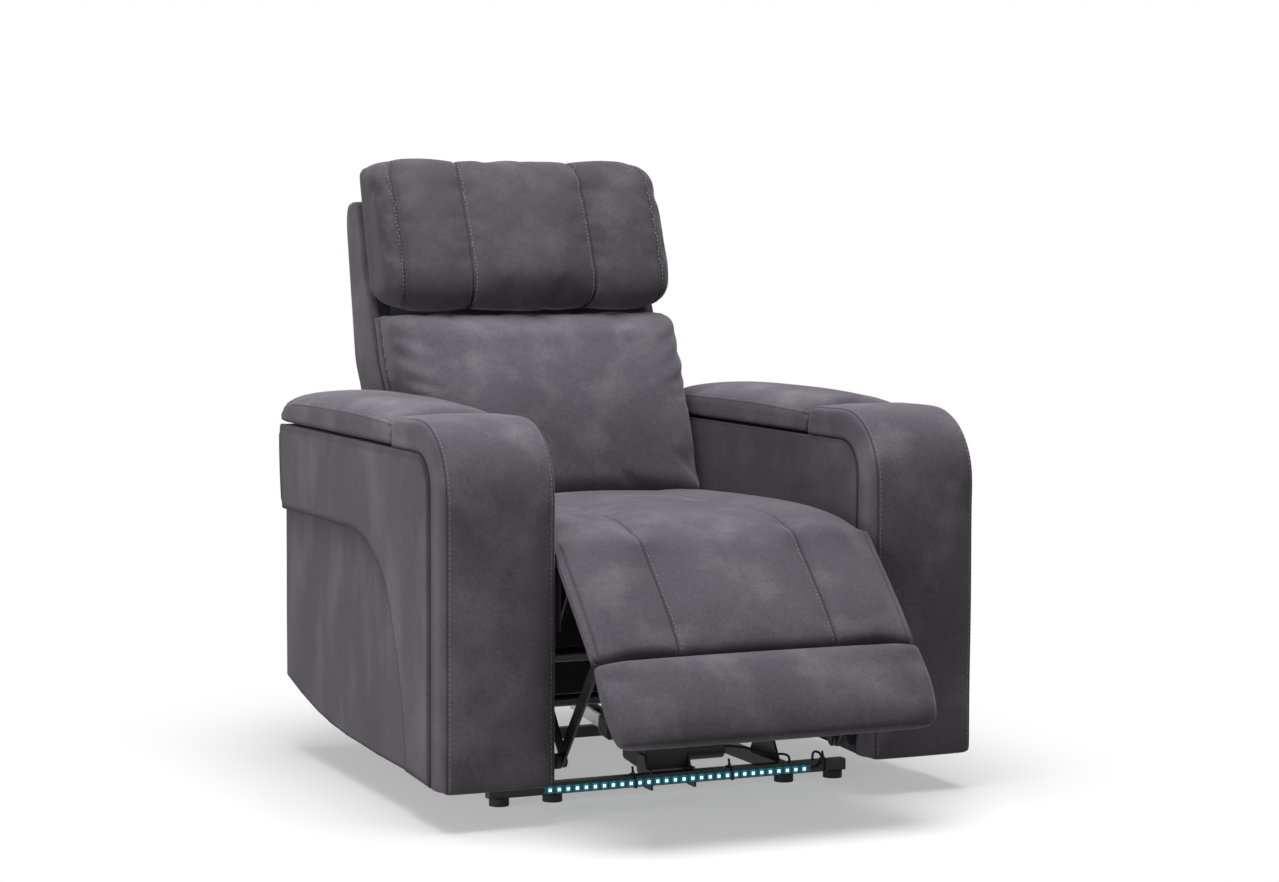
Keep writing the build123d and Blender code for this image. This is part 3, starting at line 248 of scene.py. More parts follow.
suede = {"dark": (0.074, 0.064, 0.077), "mid": (0.104, 0.093, 0.108), "light": (0.185, 0.172, 0.188),
         "shadow": (0.012, 0.009, 0.013), "cloudScale": 4.5, "smudgeScale": 11.0, "mottleScale": 150.0,
         "grainScale": 640.0, "specular": 0.3, "sheen": 0.25, "sheenRoughness": 0.4,
         "sheenTint": (0.82, 0.78, 0.86, 1), "holePitch": 0.0056, "holesFrom": 0.1295, "holesTo": 0.2545,
         "holesFade": 0.002, "holeShade": 0.55}


def makeHoles(tree, x, z):
    # rows of fine punched holes, in every second gap of a lattice, on the two outer panels; 0 in a hole
    turn = 2 * math.pi / suede["holePitch"]
    rows, columns = (worked(tree, "SINE", worked(tree, "MULTIPLY", spot, turn)) for spot in (x, z))
    far = worked(tree, "ABSOLUTE", x)
    first, last, fade = (suede[key] for key in ("holesFrom", "holesTo", "holesFade"))
    outer = worked(tree, "MULTIPLY", ranged(tree, far, first, first + fade),
                   ranged(tree, far, last, last + fade, 1.0, 0.0))
    lattice = ranged(tree, worked(tree, "MULTIPLY", rows, columns), 0.35, 0.75)
    return ranged(tree, worked(tree, "MULTIPLY", lattice, outer), 0.0, 1.0, 1.0, 0.0)


def makeSuede(name, shift=(0.0, 0.0, 0.0), shade=1.0, punched=False, upright=1.0):
    # brushed imitation leather: soft clouds, paler smudges, a fine pebbled grain; upright under 1 makes
    # standing streaks of the clouds
    finish, tree, shader, where = shaderOf(name)
    move = newNode(tree, "ShaderNodeMapping", Location=shift)
    broad = newNode(tree, "ShaderNodeMapping", Scale=(1.0, 1.0, upright))
    coords, streaked = move.outputs["Vector"], broad.outputs["Vector"]
    wire(tree, (where, move.inputs["Vector"]), (coords, broad.inputs["Vector"]))
    clouds = ranged(tree, noiseAt(tree, streaked, suede["cloudScale"], 2.0, 0.5), 0.32, 0.70)
    smudges = ranged(tree, noiseAt(tree, streaked, suede["smudgeScale"], 3.0, 0.5), 0.48, 0.86, 0.0, 0.75)
    mottle = noiseAt(tree, coords, suede["mottleScale"], 3.0, 0.65)
    grain = noiseAt(tree, coords, suede["grainScale"], 2.0, 0.7)
    dark, middle, pale = (tuple(c * shade for c in suede[key]) for key in ("dark", "mid", "light"))
    napped = blended(tree, smudges, blended(tree, clouds, dark, middle), pale)
    speckle = newNode(tree, "ShaderNodeHueSaturation")
    value = worked(tree, "MULTIPLY", ranged(tree, grain, 0.3, 0.7, 0.80, 1.20),
                   ranged(tree, mottle, 0.3, 0.7, 0.88, 1.12))
    wire(tree, (value, speckle.inputs["Value"]), (napped, speckle.inputs["Color"]))
    # painted shade: the covers' attribute darkens seams, grooves, creases and rims towards the shadow colour
    paintedShade = newNode(tree, "ShaderNodeAttribute", attribute_name="paintedShade").outputs["Fac"]
    shaded = blended(tree, ranged(tree, paintedShade, 0.0, 1.0, 0.0, 0.9), speckle.outputs["Color"], suede["shadow"])
    hide = bumped(tree, mottle, 0.25, 0.0012)
    if punched:
        split = tree.nodes.new("ShaderNodeSeparateXYZ")
        tree.links.new(where, split.inputs[0])
        solid = makeHoles(tree, split.outputs["X"], split.outputs["Z"])
        # painted shade in the punched holes
        shaded = blended(tree, ranged(tree, solid, 0.0, 1.0, suede["holeShade"], 0.0), shaded, suede["shadow"])
        hide = bumped(tree, solid, 0.5, 0.0008, hide)
    feed(tree, shader, {"Base Color": shaded, "Normal": bumped(tree, grain, 0.35, 0.0005, hide),
                        "Roughness": ranged(tree, smudges, 0.0, 1.0, 0.88, 0.74),
                        "Specular IOR Level": suede["specular"], "Sheen Weight": suede["sheen"],
                        "Sheen Roughness": suede["sheenRoughness"], "Sheen Tint": suede["sheenTint"]})
    return finish


def makePlain(name, colour, roughness, metallic=0.0, wear=None, grainScale=300.0, relief=0.15, depth=0.0003):
    finish, tree, shader, coords = shaderOf(name)
    cloud, fine = noiseAt(tree, coords, 18.0, 4.0, 0.6), noiseAt(tree, coords, grainScale, 3.0, 0.6)
    second = wear or tuple(c * 1.35 + 0.004 for c in colour)
    feed(tree, shader, {"Base Color": blended(tree, ranged(tree, cloud, 0.35, 0.8), colour, second),
                        "Roughness": ranged(tree, fine, 0.2, 0.8, roughness - 0.08, roughness + 0.08),
                        "Normal": bumped(tree, fine, relief, depth), "Metallic": metallic})
    return finish


def makeBrushed(name, colour, roughness):
    # metal drawn along the seat's depth, with fine lines
    finish, tree, shader, coords = shaderOf(name)
    stretch = newNode(tree, "ShaderNodeMapping", Scale=(900.0, 12.0, 900.0))
    tree.links.new(coords, stretch.inputs["Vector"])
    lines, tones = noiseAt(tree, stretch.outputs["Vector"], 1.0, 2.0, 0.6), noiseAt(tree, coords, 9.0, 3.0)
    darker = tuple(c * 0.8 for c in colour)
    feed(tree, shader, {"Roughness": ranged(tree, lines, 0.3, 0.7, roughness - 0.1, roughness + 0.12),
                        "Base Color": blended(tree, ranged(tree, tones, 0.3, 0.7), colour, darker),
                        "Normal": bumped(tree, lines, 0.08, 0.0002), "Metallic": 1.0})
    return finish


def makeStrip(name, firstLight, pitch):
    # a dark sleeve that the diodes under it tint, brightest beside each one
    finish, tree, shader, coords = shaderOf(name)
    split = tree.nodes.new("ShaderNodeSeparateXYZ")
    tree.links.new(coords, split.inputs[0])
    nearest = worked(tree, "PINGPONG", worked(tree, "SUBTRACT", split.outputs["X"], firstLight), pitch / 2)
    tint = blended(tree, ranged(tree, nearest, 0.0015, pitch / 2), (0.01, 0.24, 0.33), (0.0, 0.03, 0.04))
    feed(tree, shader, {"Emission Color": tint, "Emission Strength": 0.55, "Roughness": 0.25,
                        "Base Color": (0.004, 0.02, 0.026, 1)})
    return finish


def makeGlow(name, colour, strength):
    finish, tree, shader, coords = shaderOf(name)
    spots = ranged(tree, noiseAt(tree, coords, 700.0, 1.0), 0.3, 0.7)
    tint = blended(tree, spots, colour, tuple(min(1.0, c * 1.2) for c in colour))
    feed(tree, shader, {"Base Color": tint, "Emission Color": tint, "Emission Strength": strength,
                        "Roughness": 0.4})
    return finish


diodes = {"firstAt": -0.22967, "pitch": 0.016667, "colour": (0.50, 0.92, 1.0), "strength": 1.6}
finishes = {
    "suede": makeSuede("greySuede"),
    "suedeShifted": makeSuede("greySuedeShifted", (3.1, 1.7, 0.4)),
    "sideSuede": makeSuede("streakedSuede", (5.3, 0.9, 2.2), 0.95, upright=0.45),
    "headSuede": makeSuede("punchedSuede", (0.7, 2.3, 1.1), 0.66, punched=True),
    # the arms' inner panels get a darker copy of the suede: painted shade for the shade between the arms
    "shadedInnerSuede": makeSuede("innerArmSuedeShaded", (1.9, 4.1, 3.3), 0.72),
    "liningAndShade": makePlain("blackLiningAndShade", (0.016, 0.014, 0.017), 0.9, 0.0, (0.026, 0.023, 0.027), 900.0, 0.3),
    "thread": makePlain("paleThread", (0.26, 0.24, 0.265), 0.8, grainScale=1500.0),
    "blackSteel": makePlain("blackPowderCoat", (0.012, 0.012, 0.013), 0.42, 0.0, (0.03, 0.03, 0.032),
                            700.0, 0.3),
    "zincSteel": makePlain("zincPlate", (0.5, 0.5, 0.52), 0.35, 1.0, (0.34, 0.34, 0.35)),
    "springSteel": makePlain("oiledWire", (0.05, 0.05, 0.055), 0.35, 0.8),
    "blackPlastic": makePlain("blackPlastic", (0.014, 0.014, 0.015), 0.5, 0.0, (0.022, 0.022, 0.023),
                              1200.0, 0.3),
    "buttonPlastic": makePlain("buttonPlastic", (0.05, 0.05, 0.053), 0.4),
    "rubber": makePlain("blackRubber", (0.011, 0.011, 0.011), 0.75, 0.0, (0.02, 0.02, 0.02), 800.0, 0.35),
    "strip": makeStrip("stripSleeve", diodes["firstAt"], diodes["pitch"]),
    "glow": makeGlow("cyanDiode", diodes["colour"], diodes["strength"]),
    "aluminium": makeBrushed("drawnAluminium", (0.72, 0.72, 0.73), 0.34),
}
# the plywood parts get the black lining: cloth on the boards' backs, and painted shade on the seat frame and
# the lid boards' edges
slotFinish = {"black_steel": "blackSteel", "zinc_steel": "zincSteel", "spring_steel": "springSteel",
              "black_plastic": "blackPlastic", "button_plastic": "buttonPlastic", "rubber": "rubber",
              "lead_rubber": "rubber", "strip_sleeve": "strip", "led_light": "glow",
              "rail_aluminium": "aluminium", "plywood": "liningAndShade", "upholstery": "suede"}
for part in frame["record"]["subparts"]:
    body = nodes[part["node"]]
    body.data.materials.clear()
    dark = part["node"].startswith("lid_hinge")      # the hinges are painted, the bolts are plated
    body.data.materials.append(finishes["blackSteel" if dark else slotFinish[part["material_slot"]]])
print("finishes made and given to the CAD nodes")


# padded blocks: a block on ticks, rounded, shaped and bent along a run of points
seamRows = {"apart": 0.0014, "clear": 0.003, "fine": (-0.010, -0.006, -0.003, 0.0, 0.003, 0.006, 0.010),
            "fineRoom": 0.0125, "edge": (0.0, 0.12, 0.3, 0.6, 1.0), "edgeRoom": 1.3, "edgeClear": 0.0022}


def ticks(length, step, fine=(), edge=0.0, seams=()):
    marks = list(np.linspace(0.0, length, max(2, int(round(length / step)) + 1)))
    for spot in fine:
        close = [spot + k for k in seamRows["fine"]]
        marks = [m for m in marks if abs(m - spot) > seamRows["fineRoom"] or m in (0.0, length)]
        marks += [c for c in close if 0.001 < c < length - 0.001]
    if edge:
        close = [edge * k for k in seamRows["edge"]]
        room = edge * seamRows["edgeRoom"]
        marks = [m for m in marks if room < m < length - room]
        for spot in seams:      # three close rows, so that a seam stays sharp
            close = [c for c in close if abs(c - spot) > seamRows["edgeClear"] or c == 0.0]
            close += [spot, spot + seamRows["apart"]]
            close += [spot - seamRows["apart"]] if spot > 0.0025 else []
        marks += close + [length - c for c in close]
    return np.array(sorted(set(round(m, 6) for m in marks)))


def blockSurface(us, vs, ws):
    # the outside of a block on three lists of ticks: its points and its quads
    known, points, faces = {}, [], []
    last = (len(us) - 1, len(vs) - 1, len(ws) - 1)

    def corner(i, j, k):
        key = (i, j, k)
        if key not in known:
            known[key] = len(points)
            points.append((us[i], vs[j], ws[k]))
        return known[key]

    for axis in range(3):
        a, b = [n for n in range(3) if n != axis]
        for end in (0, last[axis]):
            for i in range(last[a]):
                for j in range(last[b]):
                    quad = []
                    for di, dj in ((0, 0), (1, 0), (1, 1), (0, 1)):
                        key = [0, 0, 0]
                        key[axis], key[a], key[b] = end, i + di, j + dj
                        quad.append(corner(*key))
                    faces.append(quad)
    return np.array(points), faces


def roundedEdges(points, size, topRadius, lowRadius):
    size = np.array(size)
    radius = np.where(points[:, 2:3] > size[2] / 2, topRadius, lowRadius)
    core = np.clip(points, radius, size - radius)
    away = points - core
    reach = np.abs(away).max(axis=1)
    far = np.linalg.norm(away, axis=1)
    scale = np.where(far > 1e-9, reach / np.maximum(far, 1e-9), 1.0)
    return core + away * scale[:, None]


def runGaps(knots):
    # distances between the rows of a run, mostly along its outer face
    middle = (knots[:, 0:2] + knots[:, 2:4]) / 2
    return (0.7 * np.linalg.norm(np.diff(knots[:, 0:2], axis=0), axis=1)
            + 0.3 * np.linalg.norm(np.diff(middle, axis=0), axis=1))


def smoothRun(knots, spots):
    # Catmull-Rom through rows of numbers, read at distances along the middle line
    knots = np.array(knots, float)
    along = np.concatenate([[0.0], np.cumsum(runGaps(knots))])
    slopes = np.gradient(knots, along, axis=0)
    spots = np.clip(spots, 0.0, along[-1])
    k = np.clip(np.searchsorted(along, spots, side="right") - 1, 0, len(along) - 2)
    span = (along[k + 1] - along[k])[:, None]
    t = ((spots - along[k]) / (along[k + 1] - along[k]))[:, None]
    h00, h10 = 2 * t ** 3 - 3 * t ** 2 + 1, t ** 3 - 2 * t ** 2 + t
    h01, h11 = -2 * t ** 3 + 3 * t ** 2, t ** 3 - t ** 2
    return h00 * knots[k] + h10 * span * slopes[k] + h01 * knots[k + 1] + h11 * span * slopes[k + 1]


def runLength(knots):
    return float(runGaps(np.array(knots, float)).sum())


def bump(distance, width):
    return np.exp(-(distance / width) ** 2)


def ease(value, low, high):
    t = np.clip((value - low) / (high - low), 0.0, 1.0)
    return t * t * (3 - 2 * t)


def cornered(x, away, half, along, across):
    # draws the sides in towards a cushion's end: away is the distance from it
    t = np.clip(away / along, 0.0, 1.0)
    return x * (half - across * (1.0 - np.sqrt(np.maximum(0.0, 1.0 - (1.0 - t) ** 2)))) / half


def padBlock(name, spec, shape):
    # spec: run (outer and inner points), half width, thick, step, topRadius, lowRadius, channels,
    # seams: each {"q": distance over the top edge's rounding, "depth", "width"}, on both long sides
    length = runLength(spec["run"])
    half, thick, radius = spec["half"], spec["thick"], spec["topRadius"]
    seams = spec.get("seams", ())
    channels = [half + c for c in spec.get("channels", ())]
    us = ticks(length, spec["step"], (), radius)
    overEdge = [radius * (1.0 - math.tan(seam["q"] / radius)) for seam in seams if seam["q"] < radius * 0.78]
    vs = ticks(2 * half, spec["step"], channels, radius, overEdge)
    ws = ticks(thick, spec["step"], (), min(radius, thick * 0.3))
    for seam in seams:
        angle = seam["q"] / radius
        if angle > math.pi / 4:
            down = radius / math.tan(angle) if angle < math.pi / 2 else radius * math.pi / 2 - seam["q"]
            spot = thick - radius + down
            beside = [spot - seamRows["apart"], spot, spot + seamRows["apart"]]
            ws = np.array(sorted([w for w in ws if abs(w - spot) > seamRows["clear"]] + beside))
    points, faces = blockSurface(us, vs, ws)
    points = roundedEdges(points, (length, 2 * half, thick), radius, spec["lowRadius"])
    u, x, w = points[:, 0].copy(), points[:, 1] - half, points[:, 2].copy()
    # q runs over the top, round the edge and down the side; 0 is where the rounding starts
    overSide, overTop = np.abs(x) - (half - radius), w - (thick - radius)
    turn = np.arctan2(np.maximum(overSide, 0.0), np.maximum(overTop, 1e-9))
    q = np.where(overTop <= 0, radius * math.pi / 2 - overTop, np.where(overSide <= 0, overSide, radius * turn))
    sideways, upwards = np.sin(turn) * np.sign(x), np.cos(turn)
    # painted shade, gathered from the seams' grooves and from the creases that the shape adds
    paintedShade, sewn = np.zeros(len(u)), np.zeros(len(u))
    for seam in seams:
        near = q - seam["q"]
        sink = seam["depth"] * bump(near, seam["width"])
        x -= sideways * sink
        w -= upwards * sink
        paintedShade = np.maximum(paintedShade, seam.get("shade", 0.9) * bump(near, seam["width"] * 0.6))
        sewn = np.maximum(sewn, bump(near, seam["width"] * 0.8))
    u, x, lift, shade, held = shape(u, x, w / thick, length)
    paintedShade, held = np.maximum(paintedShade, shade), np.maximum(sewn, held)
    world = bentPlaces(spec, u, x, w / thick, lift)
    mesh = bpy.data.meshes.new(name)
    mesh.from_pydata(world.tolist(), [], faces)
    mesh.update()
    bm = bmesh.new()
    bm.from_mesh(mesh)
    bmesh.ops.recalc_face_normals(bm, faces=bm.faces)
    bm.to_mesh(mesh)
    bm.free()
    writeAttribute(mesh, "paintedShade", np.clip(paintedShade, 0.0, 1.0))
    writeAttribute(mesh, "held", np.clip(held, 0.0, 1.0))
    return placed(name, mesh)


def heightAt(run, u, w):
    row = smoothRun(run, u)
    return row[:, 3] + (row[:, 1] - row[:, 3]) * w


def widerAbove(spec, u, w):
    # a cover that has room above the arms is a little wider there
    return 1.0 + spec["widerAbove"] * ease(heightAt(spec["run"], u, w), spec["widerFrom"], spec["widerTo"])


def sewnChannel(spec, x):
    # the distance to the nearest channel, and its groove in a soft valley
    near = np.abs(np.abs(x) - spec["channels"][1])
    return near, (spec["grooveDeep"] * bump(near, spec["grooveWide"])
                  + spec["valleyDeep"] * bump(near, spec["valleyWide"]))


def bentPlaces(spec, u, x, w, lift):
    row = smoothRun(spec["run"], u)
    outer, inner = row[:, 0:2], row[:, 2:4]
    span = outer - inner
    local = np.linalg.norm(span, axis=1)[:, None]
    spot = inner + span * w[:, None] + span / np.maximum(local, 1e-6) * lift[:, None]
    return np.column_stack([x + spec.get("middle", 0.0), spot[:, 0] + frontLine, spot[:, 1]])


def seamLine(body, spec, first, last, q=None, side=1, x=0.0, count=160):
    # points on the finished cover: along an edge seam at q, or along a channel at x
    half, thick, radius = spec["half"], spec["thick"], spec["topRadius"]
    length = runLength(spec["run"])
    u = np.linspace(first * length, last * length, count)
    if q is None:
        across, high = np.full(count, x), np.full(count, 1.02)
    else:
        angle = min(q / radius, math.pi / 2)
        down = max(0.0, q - radius * math.pi / 2)
        across = np.full(count, side * (half - radius + (radius + 0.001) * math.sin(angle)))
        high = np.full(count, (thick - radius + (radius + 0.001) * math.cos(angle) - down) / thick)
    guess = bentPlaces(spec, u, across, high, np.zeros(count))
    tree = BVHTree.FromPolygons([v.co.copy() for v in body.data.vertices],
                                [list(f.vertices) for f in body.data.polygons])
    line = []
    for spot in guess:
        hit, normal, _, _ = tree.find_nearest(Vector(spot))
        line.append(hit + normal * 0.0002)
    return line


def writeAttribute(mesh, name, values):
    found = mesh.attributes.get(name) or mesh.attributes.new(name, "FLOAT", "POINT")
    found.data.foreach_set("value", np.asarray(values, np.float32))


def pointsOf(mesh):
    flat = np.zeros(len(mesh.vertices) * 3, np.float32)
    mesh.vertices.foreach_get("co", flat)
    return flat.reshape(-1, 3).astype(float)


def setPoints(mesh, points):
    mesh.vertices.foreach_set("co", np.asarray(points, np.float32).ravel())
    mesh.update()


stuffing = {"pressure": 4.0, "frames": 20, "stiffness": 12.0, "quality": 6, "mass": 0.25, "bending": 1.2,
            "damping": 3.0, "moreAbove": 0.0008, "aboveFrom": 0.655, "aboveTo": 0.720}


def puff(body, cap, spare=0.0, widest=None):
    # the cover swells like a stuffed cushion, held where the pad is sewn or rests on a board, by about cap
    # at most and no wider than the room between the arms and the open lids
    mesh = body.data
    before = pointsOf(mesh)
    held = np.zeros(len(mesh.vertices), np.float32)
    mesh.attributes["held"].data.foreach_get("value", held)
    group = body.vertex_groups.new(name="sewn")
    for strength in (0.25, 0.5, 0.75, 1.0):
        chosen = np.nonzero(np.round(held * 4) / 4 == strength)[0]
        group.add([int(i) for i in chosen], strength, "REPLACE")
    cloth = body.modifiers.new("swell", "CLOTH")
    cover = cloth.settings
    cover.quality = stuffing["quality"]
    cover.mass = stuffing["mass"]
    cover.tension_stiffness = cover.compression_stiffness = stuffing["stiffness"]
    cover.shear_stiffness = stuffing["stiffness"] / 2
    cover.bending_stiffness = stuffing["bending"]
    cover.air_damping = stuffing["damping"]
    cover.use_pressure = True
    cover.uniform_pressure_force = stuffing["pressure"]
    cover.shrink_min = -spare
    cover.vertex_group_mass = "sewn"
    cover.effector_weights.gravity = 0.0
    cloth.collision_settings.use_collision = False
    for number in range(1, stuffing["frames"] + 1):
        scene.frame_set(number)
    swollen = body.evaluated_get(bpy.context.evaluated_depsgraph_get())
    after = pointsOf(swollen.data)
    body.modifiers.remove(cloth)
    scene.frame_set(1)
    move = after - before
    far = np.linalg.norm(move, axis=1)
    soft = np.where(far > 1e-9, cap * np.tanh(far / cap) / np.maximum(far, 1e-9), 1.0)
    puffed = before + move * soft[:, None]
    if widest:
        limit = widest + stuffing["moreAbove"] * ease(puffed[:, 2], stuffing["aboveFrom"], stuffing["aboveTo"])
        puffed[:, 0] = np.clip(puffed[:, 0], -limit, limit)
    setPoints(mesh, puffed)
    body.vertex_groups.clear()


def dress(body, riders, finish="suede", levels=1, replaced=()):
    # a finished piece: smooth faces, one subdivision, its finish, its body (or, given several, its place baked
    # in) and the CAD parts it replaces hidden
    body.data.polygons.foreach_set("use_smooth", [True] * len(body.data.polygons))
    body.data.materials.clear()
    body.data.materials.append(finishes[finish])
    if levels:
        finer = body.modifiers.new("finer", "SUBSURF")
        finer.levels = finer.render_levels = levels
    if isinstance(riders, str):
        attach(body, riders)
    else:
        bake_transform(body)
    if replaced:
        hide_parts(*replaced)


# seat and knee rest in one cover, which bends over the footrest's hinge
legRest = {"hinge": (0.026, 0.424), "kneeSlope": 45.0, "kneeLength": 0.242, "calfSlope": 58.0}


def onSlope(start, angle):
    # depth and height of a spot at a distance down a board that slopes by angle, and at a height over it
    lean, normal = math.radians(angle), math.radians(90.0 + angle)
    return lambda distance, height: (start[0] + height * math.cos(normal) - distance * math.cos(lean),
                                     start[1] + height * math.sin(normal) - distance * math.sin(lean))


onKnee = onSlope(legRest["hinge"], legRest["kneeSlope"])
onCalf = onSlope(onKnee(legRest["kneeLength"], 0.0), legRest["calfSlope"])


# each row of a run: depth and height of the outer face, then of the inner one
chaiseRun = [(0.63, 0.448, 0.628, 0.392), (0.6, 0.466, 0.6, 0.39), (0.52, 0.478, 0.52, 0.39),
             (0.42, 0.483, 0.42, 0.39), (0.3, 0.487, 0.3, 0.39), (0.2, 0.489, 0.2, 0.39),
             (0.12, 0.488, 0.135, 0.391), (0.075, 0.485, 0.098, 0.396), (0.042, 0.479, 0.062, 0.414),
             (0.014, 0.4705, 0.03, 0.434)]
chaiseRun += [onKnee(outer, high) + onKnee(inner, low) for outer, high, inner, low in
              ((0.0, 0.0565, -0.004, 0.024), (0.04, 0.0585, 0.04, 0.024), (0.12, 0.060, 0.12, 0.024),
               (0.19, 0.058, 0.19, 0.024), (0.222, 0.053, 0.222, 0.024), (0.237, 0.043, 0.237, 0.026))]
chaise = {"run": chaiseRun, "half": 0.2875, "thick": 0.085, "step": 0.0115, "topRadius": 0.020,
          "lowRadius": 0.006, "channels": (-0.142, 0.142), "grooveDeep": 0.0048, "grooveWide": 0.0055,
          "valleyDeep": 0.0022, "valleyWide": 0.020, "crown": 0.004, "sideRollAt": 0.2, "edgeDrop": 0.013,
          "seams": [{"q": 0.013, "depth": 0.0012, "width": 0.0024, "shade": 0.6}]}


def chaiseShape(u, x, w, length):
    top = ease(w, 0.45, 0.9)
    inFront = ease(u, 0.10, 0.30)
    near, groove = sewnChannel(chaise, x)
    beside = np.abs(np.abs(x) - chaise["sideRollAt"])
    crown = chaise["crown"] * bump(x, 0.09) + chaise["crown"] * bump(beside, 0.045)
    edge = -chaise["edgeDrop"] * ease(np.abs(x), 0.225, chaise["half"])
    lift = top * (crown + edge - groove * inFront)
    pull = 0.004 * np.sin(np.clip(w, 0, 1) * math.pi) * np.sign(x) * ease(np.abs(x), 0.2, 0.28)
    paintedShade = np.maximum(top * 0.8 * bump(near, 0.0022) * inFront,
                        0.95 * ease(u, length - 0.020, length - 0.006))
    held = np.maximum(1.0 - ease(w, 0.30, 0.5), bump(near, 0.004) * inFront * top)
    held = np.maximum(held, ease(u, length - 0.012, length - 0.002))
    held = np.maximum(held, 1.0 - ease(u, 0.004, 0.03))
    return u, x + pull, lift, paintedShade, held


seatCover = padBlock("seatAndKneeCover", chaise, chaiseShape)
puff(seatCover, cap=0.010, widest=0.2905)
print("seat and knee cover made")

calf = {"half": 0.2875, "thick": 0.05, "step": 0.0105, "topRadius": 0.017, "lowRadius": 0.006,
        "crown": 0.005, "edgeDrop": 0.007, "hemFromEnd": 0.011, "hemDeep": 0.0022, "hemWide": 0.003,
        "swellMiddle": 0.010, "narrowEnd": 0.022}
calf["run"] = [onKnee(0.2375, 0.043) + onKnee(0.2395, 0.026), onKnee(0.245, 0.055) + onKnee(0.2415, 0.0245)]
calf["run"] += [onCalf(outer, high) + onCalf(inner, low) for outer, high, inner, low in
                ((0.026, 0.0630, 0.012, 0.0245), (0.055, 0.0700, 0.05, 0.0245), (0.087, 0.0735, 0.085, 0.0245),
                 (0.116, 0.0730, 0.108, 0.0245), (0.135, 0.066, 0.121, 0.0245), (0.143, 0.054, 0.128, 0.026))]


def calfShape(u, x, w, length):
    top = ease(w, 0.4, 0.9)
    half = calf["half"]
    crown = calf["crown"] * (1 - np.abs(x / half) ** 2.4)
    edge = -calf["edgeDrop"] * ease(np.abs(x), 0.24, half)
    hem = bump(u - (length - calf["hemFromEnd"]), calf["hemWide"])
    lift = top * (crown + edge) - calf["hemDeep"] * hem * ease(w, 0.2, 0.5)
    narrow = (1.0 + calf["swellMiddle"] * np.sin(np.clip(u / length, 0, 1) * math.pi)
              - calf["narrowEnd"] * ease(u, 0.06, length))
    x = cornered(x, length + 0.004 - u, half, 0.040, 0.020)
    paintedShade = np.maximum(0.7 * hem * ease(w, 0.2, 0.5), 0.95 * (1.0 - ease(u, 0.004, 0.014)))
    held = np.maximum(1.0 - ease(w, 0.2, 0.42), hem)
    held = np.maximum(held, 1.0 - ease(u, 0.002, 0.014))
    return u, x * narrow, lift, paintedShade, held


calfCover = padBlock("calfCover", calf, calfShape)
puff(calfCover, cap=0.008, widest=0.2905)
print("calf cover made")

# lumbar cushion
lumbarRun = [(0.616, 0.437, 0.745, 0.447), (0.604, 0.46, 0.754, 0.462), (0.62, 0.52, 0.775, 0.52),
             (0.648, 0.6, 0.803, 0.6), (0.687, 0.68, 0.831, 0.68), (0.728, 0.745, 0.853, 0.745),
             (0.752, 0.789, 0.865, 0.782), (0.776, 0.807, 0.868, 0.794)]
lumbar = {"run": lumbarRun, "half": 0.285, "thick": 0.118, "step": 0.011, "topRadius": 0.042,
          "lowRadius": 0.008, "seams": [{"q": 0.114, "depth": 0.0040, "width": 0.0028}], "stitchesAt": 0.1085,
          "crown": 0.020, "foldPitch": 0.036, "foldDeep": 0.0036, "gatherPitch": 0.028, "gatherDeep": 0.0030,
          "widerAbove": 0.020, "widerFrom": 0.655, "widerTo": 0.720}


def lumbarShape(u, x, w, length):
    top = ease(w, 0.5, 0.95)
    half = lumbar["half"]
    crown = lumbar["crown"] * (1 - np.abs(x / half) ** 2.6) * np.sin(np.clip(u / length, 0, 1) * math.pi) ** 0.6
    seamGap = np.abs(np.abs(x) - half)
    folds = np.sin((u + 0.5 * seamGap) * 2 * math.pi / lumbar["foldPitch"] + 1.7 * np.sin(u * 31.0))
    pucker = lumbar["foldDeep"] * folds * bump(seamGap, 0.060) * ease(w, 0.20, 0.40)
    pucker *= ease(u, 0.18, 0.26) * (1 - ease(u, length - 0.06, length - 0.02))
    waist = 0.001 * np.sin(np.clip(w, 0, 1) * math.pi) * np.sign(x) * ease(np.abs(x), 0.2, 0.28)
    held = 1.0 - ease(w, 0.25, 0.5)
    gather = lumbar["gatherDeep"] * np.sin(u * 2 * math.pi / lumbar["gatherPitch"] + 1.3 * np.sin(u * 23.0))
    gather = gather * bump(w - 0.30, 0.14) * ease(np.abs(x), 0.24, 0.28)
    x = (x + waist + gather * np.sign(x)) * widerAbove(lumbar, u, w)
    return u, x, top * crown + pucker, 0.0 * u, held


lumbarCover = padBlock("lumbarCover", lumbar, lumbarShape)
puff(lumbarCover, cap=0.010, spare=0.01, widest=0.2900)
print("lumbar cover made")

# headrest
headRun = [(0.868, 0.824, 0.895, 0.846), (0.84, 0.811, 0.897, 0.862), (0.813, 0.8125, 0.901, 0.878),
           (0.788, 0.822, 0.906, 0.895), (0.772, 0.842, 0.912, 0.912), (0.77, 0.866, 0.918, 0.93),
           (0.784, 0.915, 0.926, 0.955), (0.806, 0.97, 0.936, 0.99), (0.836, 1.03, 0.946, 1.025),
           (0.858, 1.066, 0.951, 1.045), (0.878, 1.084, 0.954, 1.054), (0.908, 1.09, 0.956, 1.06),
           (0.938, 1.083, 0.957, 1.066)]
head = {"run": headRun, "half": 0.2905, "thick": 0.110, "step": 0.011, "topRadius": 0.030, "lowRadius": 0.008,
        "low": 0.810, "high": 1.094, "channels": (-0.125, 0.125), "stitchesAt": 0.0055,
        "grooveDeep": 0.006, "grooveWide": 0.006, "valleyDeep": 0.0035, "valleyWide": 0.026,
        "crown": 0.006, "sideCrown": 0.005, "sideRollAt": 0.2, "edgeDrop": 0.008,
        "seams": [{"q": 0.002, "depth": 0.0028, "width": 0.0024}]}


